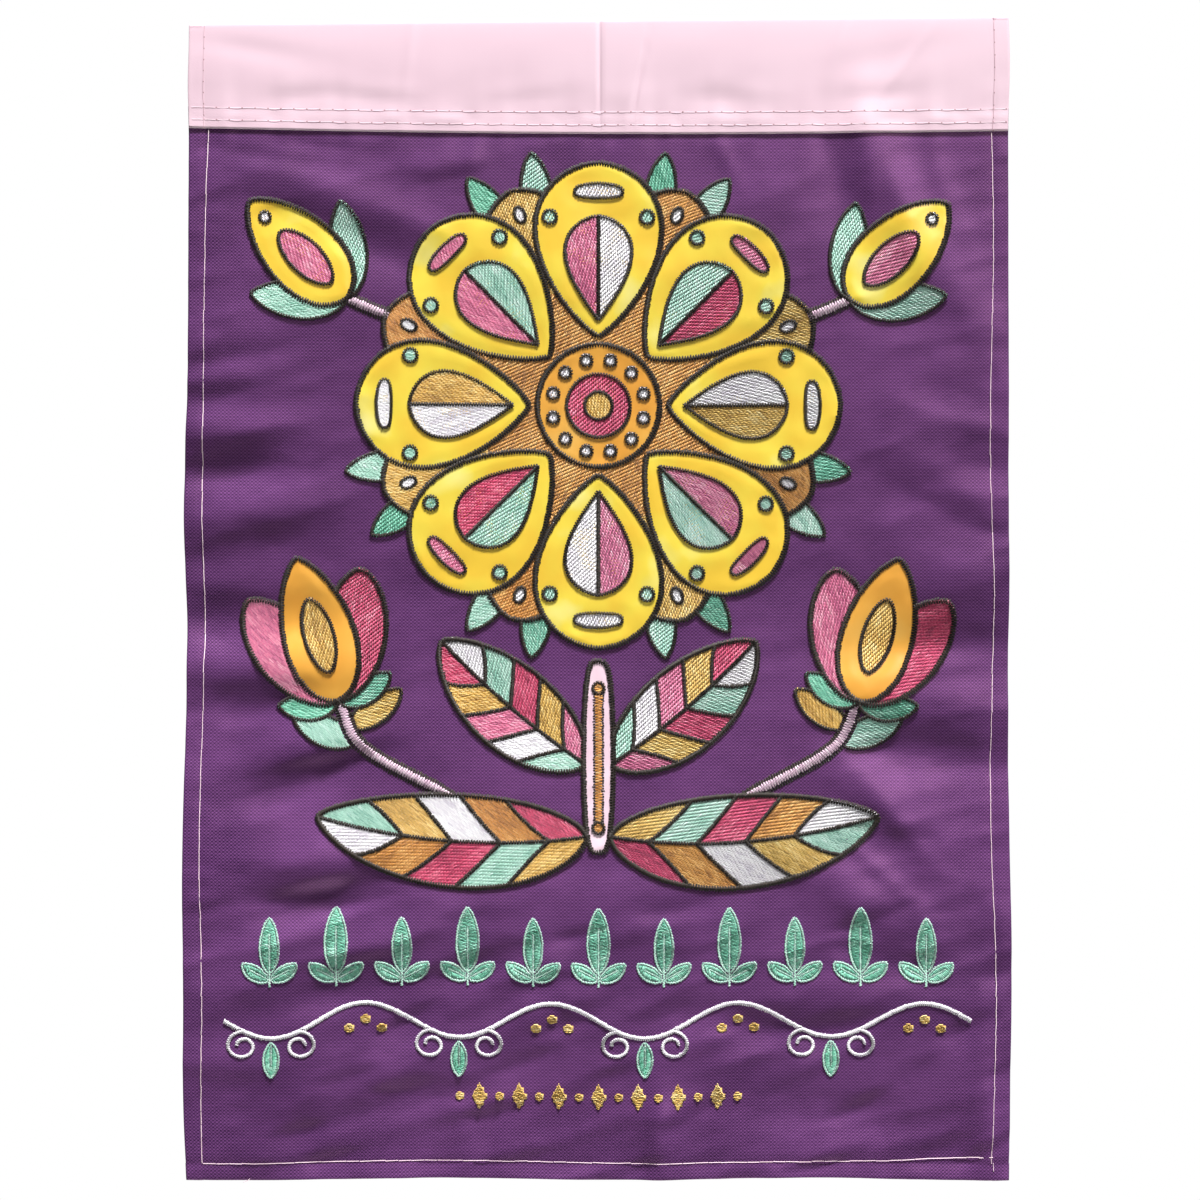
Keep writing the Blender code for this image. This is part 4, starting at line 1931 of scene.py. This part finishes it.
@dataclass
class Foliage(Motif):
    """Everything that grows round the flower: stem, leaves, tulips and buds, mirrored left to right."""

    veins: tuple[float, ...] = (0.0, 0.14, 0.32, 0.5, 0.68, 1.0)
    vein_slant: float = 0.16

    def leaf(self, blade: Blade, spools: tuple[Spool, ...]) -> None:
        """A leaf of thread panes between slanting veins.

        Args:
            blade: Its shape.
            spools: The threads that its panes take in turn.
        """
        for side, first in ((-1.0, 0), (1.0, 2)):
            for number in range(len(self.veins) - 1):
                spool = spools[(number + first) % len(spools)]
                self.patch(self.pane(blade, number, side), spool, blade.turn + side * 34, INNER_BORDER)
        self.outline(blade.outline(), OUTER_BORDER)

    def pane(self, blade: Blade, number: int, side: float) -> Array:
        """One pane of a leaf, bounded by its middle line, two veins and the leaf's edge.

        Args:
            blade: The leaf.
            number: The pane's number, from the leaf's root.
            side: -1 for the left half of the leaf, 1 for the right.

        Returns:
            The pane's outline.
        """
        out = np.linspace(0.0, 1.0, 12)
        low, high = self.veins[number : number + 2]
        low_slant = 0.0 if number == 0 else self.vein_slant
        high_slant = 0.0 if number == len(self.veins) - 2 else self.vein_slant
        first = blade.at(low + low_slant * out, side * out)
        rim = blade.at(np.linspace(low + low_slant, high + high_slant, 16), side)
        last = blade.at(high + high_slant * out[::-1], side * out[::-1])
        return np.vstack([first, rim, last, blade.at(np.linspace(high, low, 12), 0.0)])

    def design(self) -> None:
        """Puts the foliage's patches in sewing order."""
        glass = (Spool.MINT, Spool.WHITE, Spool.PINK, Spool.GOLD, Spool.MAGENTA)
        autumn = (Spool.GOLD, Spool.MINT, Spool.MAGENTA, Spool.OCHRE, Spool.WHITE)
        for name, sign in (("left", -1.0), ("right", 1.0)):
            self.tulip(name, sign)
            self.bud(name, sign)
            self.leaf(Blade(sign * 0.01, 0.646, sign * 50, 0.165, 0.074, 0.48, 0.72, sign * -14.0), glass)
            self.leaf(Blade(sign * 0.01, 0.708, sign * 86, 0.235, 0.08, 0.46, 0.72, sign * -26.0), autumn)
        self.stem()

    def tulip(self, name: str, sign: float) -> None:
        """A side tulip on its curving stem.

        Args:
            name: Its side, "left" or "right".
            sign: -1 for the left side, 1 for the right.
        """
        x, y, turn = sign * 0.226, 0.592, sign * 16.0
        middle, foot = (sign * 0.134, 0.672), (sign * 0.092, 0.7)
        path = curve((x, y - 0.004), (x - sign * 0.022, y + 0.04), middle, foot)
        for share, lean, reach, spool in ((0.3, 66.0, 0.062, Spool.MINT), (0.2, -54.0, 0.056, Spool.GOLD)):
            root = path[int(share * len(path))]
            leaf = Blade(*root, sign * lean, reach, reach * 0.42, 0.48, 0.75, sign * -0.3 * lean)
            self.patch(leaf.outline(), spool, leaf.turn + 20, INNER_BORDER)
        self.line(path, Spool.BLUSH, 0.0076, 0.003)
        for shift in (-78.0, 78.0):
            sepal = Blade(x, y, turn + shift, 0.052, 0.024, 0.45, 0.75, -0.4 * shift)
            self.patch(sepal.outline(), Spool.SEA_GREEN, turn + shift, INNER_BORDER)
        for shift, spool in ((-26.0, Spool.PINK), (26.0, Spool.MAGENTA)):
            petal = Blade(x, y, turn + shift, 0.116, 0.056, 0.5, 0.62, -0.5 * shift)
            self.patch(petal.outline(), spool, turn + shift * 1.4, OUTER_BORDER, 2.0)
        blade = Blade(x, y, turn, 0.128, 0.062, 0.42, 0.7)
        piece = self.satin(f"tulip_{name}", blade, "orange_satin")
        inner = Blade(*blade.at(0.2, 0.0)[0], turn, 0.066, 0.026, 0.5, 0.6)
        self.on_satin(piece, inner.outline(), Spool.GOLD, turn, INNER_BORDER)

    def bud(self, name: str, sign: float) -> None:
        """A top bud with its two leaves and its short stem.

        Args:
            name: Its side, "left" or "right".
            sign: -1 for the left side, 1 for the right.
        """
        x, y, turn = sign * 0.218, 0.244, sign * 46.0
        self.line(curve((x, y), (sign * 0.2, 0.252), (sign * 0.182, 0.259)), Spool.BLUSH, 0.0072, 0.0028)
        for shift in (-42.0 * sign, 42.0 * sign):
            leaf = Blade(x, y, turn + shift, 0.084, 0.034, 0.45, 0.75, -0.4 * shift)
            self.patch(leaf.outline(), Spool.MINT, turn + shift, INNER_BORDER, 2.0)
        blade = Blade(x, y, turn, 0.118, 0.064, 0.42, 0.7)
        piece = self.satin(f"bud_{name}", blade, "yellow_satin")
        inner = Blade(*blade.at(0.16, 0.0)[0], turn, 0.062, 0.028, 0.5, 0.6)
        self.on_satin(piece, inner.outline(), Spool.PINK, turn, INNER_BORDER)
        self.on_satin(piece, disc(*blade.at(0.84, 0.0)[0], 0.0048, 20), Spool.WHITE, turn, SMALL_BORDER)

    def stem(self) -> None:
        """The satin stem with its thread vein and a bead at each end."""
        piece = self.satin("stem", Blade(0.0, 0.556, 180, 0.166, 0.026, 0.5, 0.25), "pink_satin")
        vein = self.line(curve((0.0, 0.578), (0.0, 0.64), (0.0, 0.702)), Spool.ORANGE, 0.0062, 0.0016)
        vein.lift = 0.0003
        piece.on_it.append(vein)
        for end in (0.5795, 0.7005):
            self.on_satin(piece, disc(0.0, end, 0.005, 22), Spool.ORANGE, 90, SMALL_BORDER)


@dataclass
class Garland(Motif):
    """The border under the flower: mint sprigs, a white vine with tendrils, and gold beads."""

    middle: float = 0.868
    reach: float = 0.322
    wave: float = 0.015
    wave_length: float = 0.161
    sprigs: int = 11
    sprig_reach: float = 0.283
    sprig_foot: float = 0.8385
    sprig_height: float = 0.056
    tendril_radius: float = 0.0125
    bead_row: float = 0.9345
    bead_step: float = 0.0172
    diamond: tuple[float, float] = (0.0064, 0.0118)  # half its width and half its height

    def vine(self, across: Array) -> Array:
        """The vine's line at these places."""
        return np.column_stack([across, self.vine_down(across)])

    def vine_down(self, across: Array | float) -> Array:
        """How far down the vine lies at these places."""
        return self.middle + self.wave * np.sin(math.tau * across / self.wave_length)

    def leaflet(self, blade: Blade) -> None:
        """A leaf with a deep core, a pale edge and a pale vein.

        Args:
            blade: Its shape.
        """
        edge = blade.outline(30)
        self.patch(edge, Spool.SEA_GREEN, blade.turn + 72, 0.0)
        self.line(np.vstack([edge, edge[:1]]), Spool.MINT, 0.0024)
        self.line(curve(blade.at(0.0, 0.0)[0], blade.at(0.72, 0.0)[0]), Spool.MINT, 0.0018)

    def sprig(self, across: float, height: float) -> None:
        """An upright leaf with a leaflet on either side of its foot.

        Args:
            across: Where it stands.
            height: How tall its leaf is.
        """
        foot = self.sprig_foot
        for side in (-1.0, 1.0):
            self.leaflet(Blade(across, foot - 0.006, side * 58, 0.027, 0.0125, 0.5, 0.72, side * -30))
        self.leaflet(Blade(across, foot - 0.012, 0.0, height, height * 0.34, 0.45, 0.72))
        self.line(curve((across, foot), (across, foot - 0.014)), Spool.MINT, 0.0026)

    def tendril(self, across: float, side: float) -> None:
        """A small tendril that leaves the vine's trough and winds up.

        Args:
            across: Where it leaves the vine.
            side: -1 to wind to the left, 1 to the right.
        """
        turn = np.linspace(0.0, 1.25 * math.tau, 80)
        radius = self.tendril_radius * (1 - 0.66 * turn / turn[-1])
        x = across + side * radius * np.sin(turn) * 1.15
        y = self.vine_down(across) + self.tendril_radius - radius * np.cos(turn)
        self.line(np.column_stack([x, y]), Spool.WHITE, 0.0028)

    def design(self) -> None:
        """Puts the garland's patches in sewing order."""
        for number, across in enumerate(np.linspace(-self.sprig_reach, self.sprig_reach, self.sprigs)):
            self.sprig(float(across), self.sprig_height * (1.0 if number % 2 else 0.84))
        self.line(self.vine(np.linspace(-self.reach, self.reach, 400)), Spool.WHITE, 0.0038)
        quarter = self.wave_length / 4
        for turn in range(-2, 2):
            low = (4 * turn + 1) * quarter
            self.tendril(low - 0.024, -1.0)
            self.tendril(low + 0.024, 1.0)
            self.leaflet(Blade(low, self.vine_down(low) + 0.004, 180.0, 0.03, 0.013, 0.5, 0.72))
        for turn in range(-2, 2):
            high = (4 * turn + 3) * quarter
            for shift in (-0.014, 0.0, 0.014):
                down = self.vine_down(high) + 0.014 + 40 * shift**2
                self.patch(disc(high + shift, down, 0.004, 20), Spool.GOLD, 90, 0.0)
        wide, tall = self.diamond
        for number in range(-7, 8):
            across = number * self.bead_step
            edge = disc(across, self.bead_row, 0.0036, 18)
            if number % 2 == 0:
                corners = ((0, -tall), (wide, 0), (0, tall), (-wide, 0))
                edge = np.array([(across + x, self.bead_row + y) for x, y in corners])
            self.patch(edge, Spool.GOLD, 90, 0.0)


# ---- sewing


@dataclass
class Seams:
    """The straight sewing: hems of the panel and the rows that close the sleeve."""

    cloth: HangingCloth
    forms: Forms
    seed: int = 5
    spacing: float = 0.0112  # from one needle hole to the next
    sleeve_rows: tuple[float, float] = (0.0808, 0.092)
    tail_step: float = 0.0011

    def running(self, path: Array, gap: float, width: float, rise: float, tone: float) -> Stitches:
        """Lays running stitches along a path.

        Args:
            path: The seam line.
            gap: The hole between two stitches, marked with a dot of the thread's deep shade as painted shade
                of the needle hole. Below 0 they overlap.
            width: The thread's width.
            rise: How high it is.
            tone: How light the thread is, 0 to 1.

        Returns:
            The stitches.
        """
        rng = np.random.default_rng(self.seed)
        places, way = resample(path, self.spacing, False)
        count = len(places)
        half = (self.spacing - gap) / 2 * (1 + rng.normal(0.0, 0.04, count))
        shift = rng.normal(0.0, 0.00018, (2, count))
        aside = sideways(way)
        start = places - way * half[:, None] + aside * shift[0][:, None]
        end = places + way * half[:, None] + aside * shift[1][:, None]
        made = Stitches(taper=0.00015)
        made.add(start, end, width, rise / 2, rise, tone + rng.normal(0.0, 0.07, count))
        if gap > 0:
            # A short mark of the deep shade at each needle hole: painted shade.
            hole_shade_marks = places + way * self.spacing / 2
            half = way * gap * 0.5
            made.add(hole_shade_marks - half, hole_shade_marks + half, gap * 0.8, 0.0, 0.0002, np.zeros(count))
        return made

    def hem_paths(self) -> list[Array]:
        """The hem's three seam lines: down the left side, along the foot and down the right side.

        Returns:
            The three paths.
        """
        line = self.cloth.half_width - self.cloth.hem - 0.0005
        foot = self.cloth.drop - self.cloth.hem - 0.0005
        down = np.linspace(self.cloth.sleeve_drop + 0.001, foot, 200)
        across = np.linspace(-line, line, 160)
        drawn_in = 0.001 * np.sin(down / 0.061) + 0.002 * np.exp(-(down - 0.1) / 0.03)
        rise = 0.0048 * smooth_step((across - 0.2) / 0.14) - 0.0006 * np.sin(across / 0.09)
        wander = 0.0016 * np.sin((down - 0.1) / 0.054)
        return [
            np.column_stack([-line + drawn_in, down]),
            np.column_stack([across, foot - rise]),
            np.column_stack([line + wander, down]),
        ]

    def sleeve_paths(self) -> list[Array]:
        """The sleeve's four seam lines: its two rows, and down its left and right ends.

        Returns:
            The four paths.
        """
        line = self.cloth.half_width - self.cloth.hem
        across = np.linspace(-line - 0.012, line + 0.012, 300)
        down = np.linspace(0.002, self.cloth.sleeve_drop - 0.001, 60)
        rows = [np.column_stack([across, np.full(300, depth)]) for depth in self.sleeve_rows]
        return rows + [np.column_stack([np.full(60, side * (line + 0.0008)), down]) for side in (-1.0, 1.0)]

    def finish(self, piece: Piece) -> None:
        """Gives a seam its flat-sided thread and hands it over."""
        piece.data.shade_flat()
        hand_over(piece, Spool.SEAM_PINK.value.material())

    def tails(self) -> None:
        """The ends of hem thread left at the corner and under the foot."""
        line, foot = self.cloth.half_width - self.cloth.hem, self.cloth.drop
        made = Stitches(taper=0.0001)
        for path in (
            curve((line, foot - 0.0145), (line + 0.0002, foot - 0.011), (line + 0.0007, foot - 0.0072)),
            curve((-0.302, foot - 0.0006), (-0.3045, foot + 0.0012), (-0.3075, foot + 0.0022)),
        ):
            places, way = resample(path, self.tail_step, False)
            start, end = places - way * 0.0008, places + way * 0.0008
            made.add(start, end, 0.0006, 0.0002, 0.0005, np.full(len(places), 0.5))
        piece = made.build("thread_tails", Surface(self.cloth, Face.PANEL_FRONT), self.forms)
        hand_over(piece, Spool.SEAM_PINK.value.material())

    def build(self) -> None:
        """Sews the hems and the sleeve, on the front and on the back."""
        self.tails()
        for word, panel, sleeve, thickness in (
            ("front", Face.PANEL_FRONT, Face.SLEEVE_FRONT, 0.0005),
            ("back", Face.PANEL_BACK, Face.SLEEVE_BACK, 0.0022),
        ):
            surface = Surface(self.cloth, panel, thickness)
            for number, path in enumerate(self.hem_paths()):
                made = self.running(path, -0.0001, 0.0008, 0.0004, 0.56)
                self.finish(made.build(f"hem_stitches_{word}_{number}", surface, self.forms))
            surface = Surface(self.cloth, sleeve)
            for number, path in enumerate(self.sleeve_paths()):
                # The sleeve's rows take a light tone; its end seams a darker one, a painted shadow line along
                # them.
                rise, tone = (0.0002, 0.7) if number < len(self.sleeve_rows) else (0.0003, 0.3)
                made = self.running(path, 0.0015, 0.0006, rise, tone)
                self.finish(made.build(f"sleeve_stitches_{word}_{number}", surface, self.forms))


# ---- stage


@dataclass
class Studio:
    """The plain stage: floor, soft lights, pale world and the camera square to the flag's face."""

    centre: tuple[float, float, float] = (0.0013, 0.0, -0.5037)
    view_width: float = 1.0404
    lens: float = 100.0
    sensor: float = 36.0
    floor_level: float = -2.8
    floor_radius: float = 1.6
    world_strength: float = 0.13

    def camera(self) -> None:
        """Places the camera."""
        data = bpy.data.cameras.new("camera")
        data.lens = self.lens
        data.sensor_width = self.sensor
        camera = new_object("camera", data)
        camera.location = (self.centre[0], -self.view_width * self.lens / self.sensor, self.centre[2])
        camera.rotation_euler = (math.pi / 2, 0.0, 0.0)
        bpy.context.scene.camera = camera

    def sun(self, name: str, rise: float, swing: float, spread: float, power: float) -> Piece:
        """Places a soft distant light.

        Args:
            name: The light's name.
            rise: Degrees above the level from which it shines.
            swing: Degrees to the right of the camera from which it shines.
            spread: How wide the light looks, in degrees.
            power: Its strength.

        Returns:
            The light.
        """
        data = bpy.data.lights.new(name, "SUN")
        data.energy = power
        data.angle = math.radians(spread)
        lamp = new_object(name, data)
        lamp.rotation_euler = (math.pi / 2 - math.radians(rise), 0.0, math.radians(swing))
        return lamp

    def floor(self) -> None:
        """Lays the floor."""
        deselect()
        bpy.ops.mesh.primitive_circle_add(
            vertices=96, radius=self.floor_radius, fill_type="NGON", location=(0, 0, self.floor_level)
        )
        floor = bpy.context.object
        floor.name = "floor"
        made, tree, shader = new_material("white_painted_floor")
        feed(tree, shader, {"Base Color": linear("#e6e6e6"), "Roughness": 0.8})
        floor.data.materials.append(made)
        floor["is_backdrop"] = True

    def world(self) -> None:
        """Makes the world: white to look at, dimmer as a light."""
        world = bpy.data.worlds.new("studio")
        bpy.context.scene.world = world
        world.use_nodes = True
        tree = world.node_tree
        seen = add_node(tree, "LightPath", {}, out="Is Camera Ray")
        strength = {"Value": seen, "To Min": self.world_strength, "To Max": 1.0}
        inputs = {"Color": (1.0, 1.0, 1.0, 1.0), "Strength": add_node(tree, "MapRange", strength)}
        feed(tree, tree.nodes["Background"], inputs)

    def build(self) -> None:
        """Sets the stage."""
        self.camera()
        self.floor()
        self.world()
        self.sun("key", 70.0, 30.0, 11.0, 8.7)
        self.sun("gloss", 22.0, 20.0, 14.0, 0.95).visible_diffuse = False
        self.sun("back_fill", 30.0, 170.0, 40.0, 1.2)
        bpy.context.scene.view_settings.view_transform = "Standard"


# ---- the flag


def main() -> dict[str, list[list[float]]]:
    """Builds the flag.
    """
    logging.basicConfig(level=logging.INFO, format="%(message)s")
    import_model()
    box = {"cad": [list(map(float, corner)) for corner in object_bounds()]}
    sleeve_low, sleeve_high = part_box("pole_sleeve")
    panel_low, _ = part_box("flag_panel")
    cloth = HangingCloth(
        half_width=float(sleeve_high[0] - sleeve_low[0]) / 2,
        drop=float(-panel_low[2]) - HangingCloth.foot_wave,
        sleeve_drop=float(-sleeve_low[2]),
    )
    Studio().build()
    Panel(cloth).build()
    Sleeve(cloth).build()
    forms = (StitchForm.model(pointed=True), StitchForm.model(pointed=False))
    front, back = Surface(cloth, Face.PANEL_FRONT), Surface(cloth, Face.PANEL_BACK)
    for motif in (Foliage("foliage", 11), Bloom("bloom", 12), Garland("garland", 13)):
        motif.design()
        motif.build(front, back, forms)
    Seams(cloth, forms).build()
    box["visual"] = [list(map(float, corner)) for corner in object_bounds()]
    return box


if __name__ == "__main__":
    sizes = main()
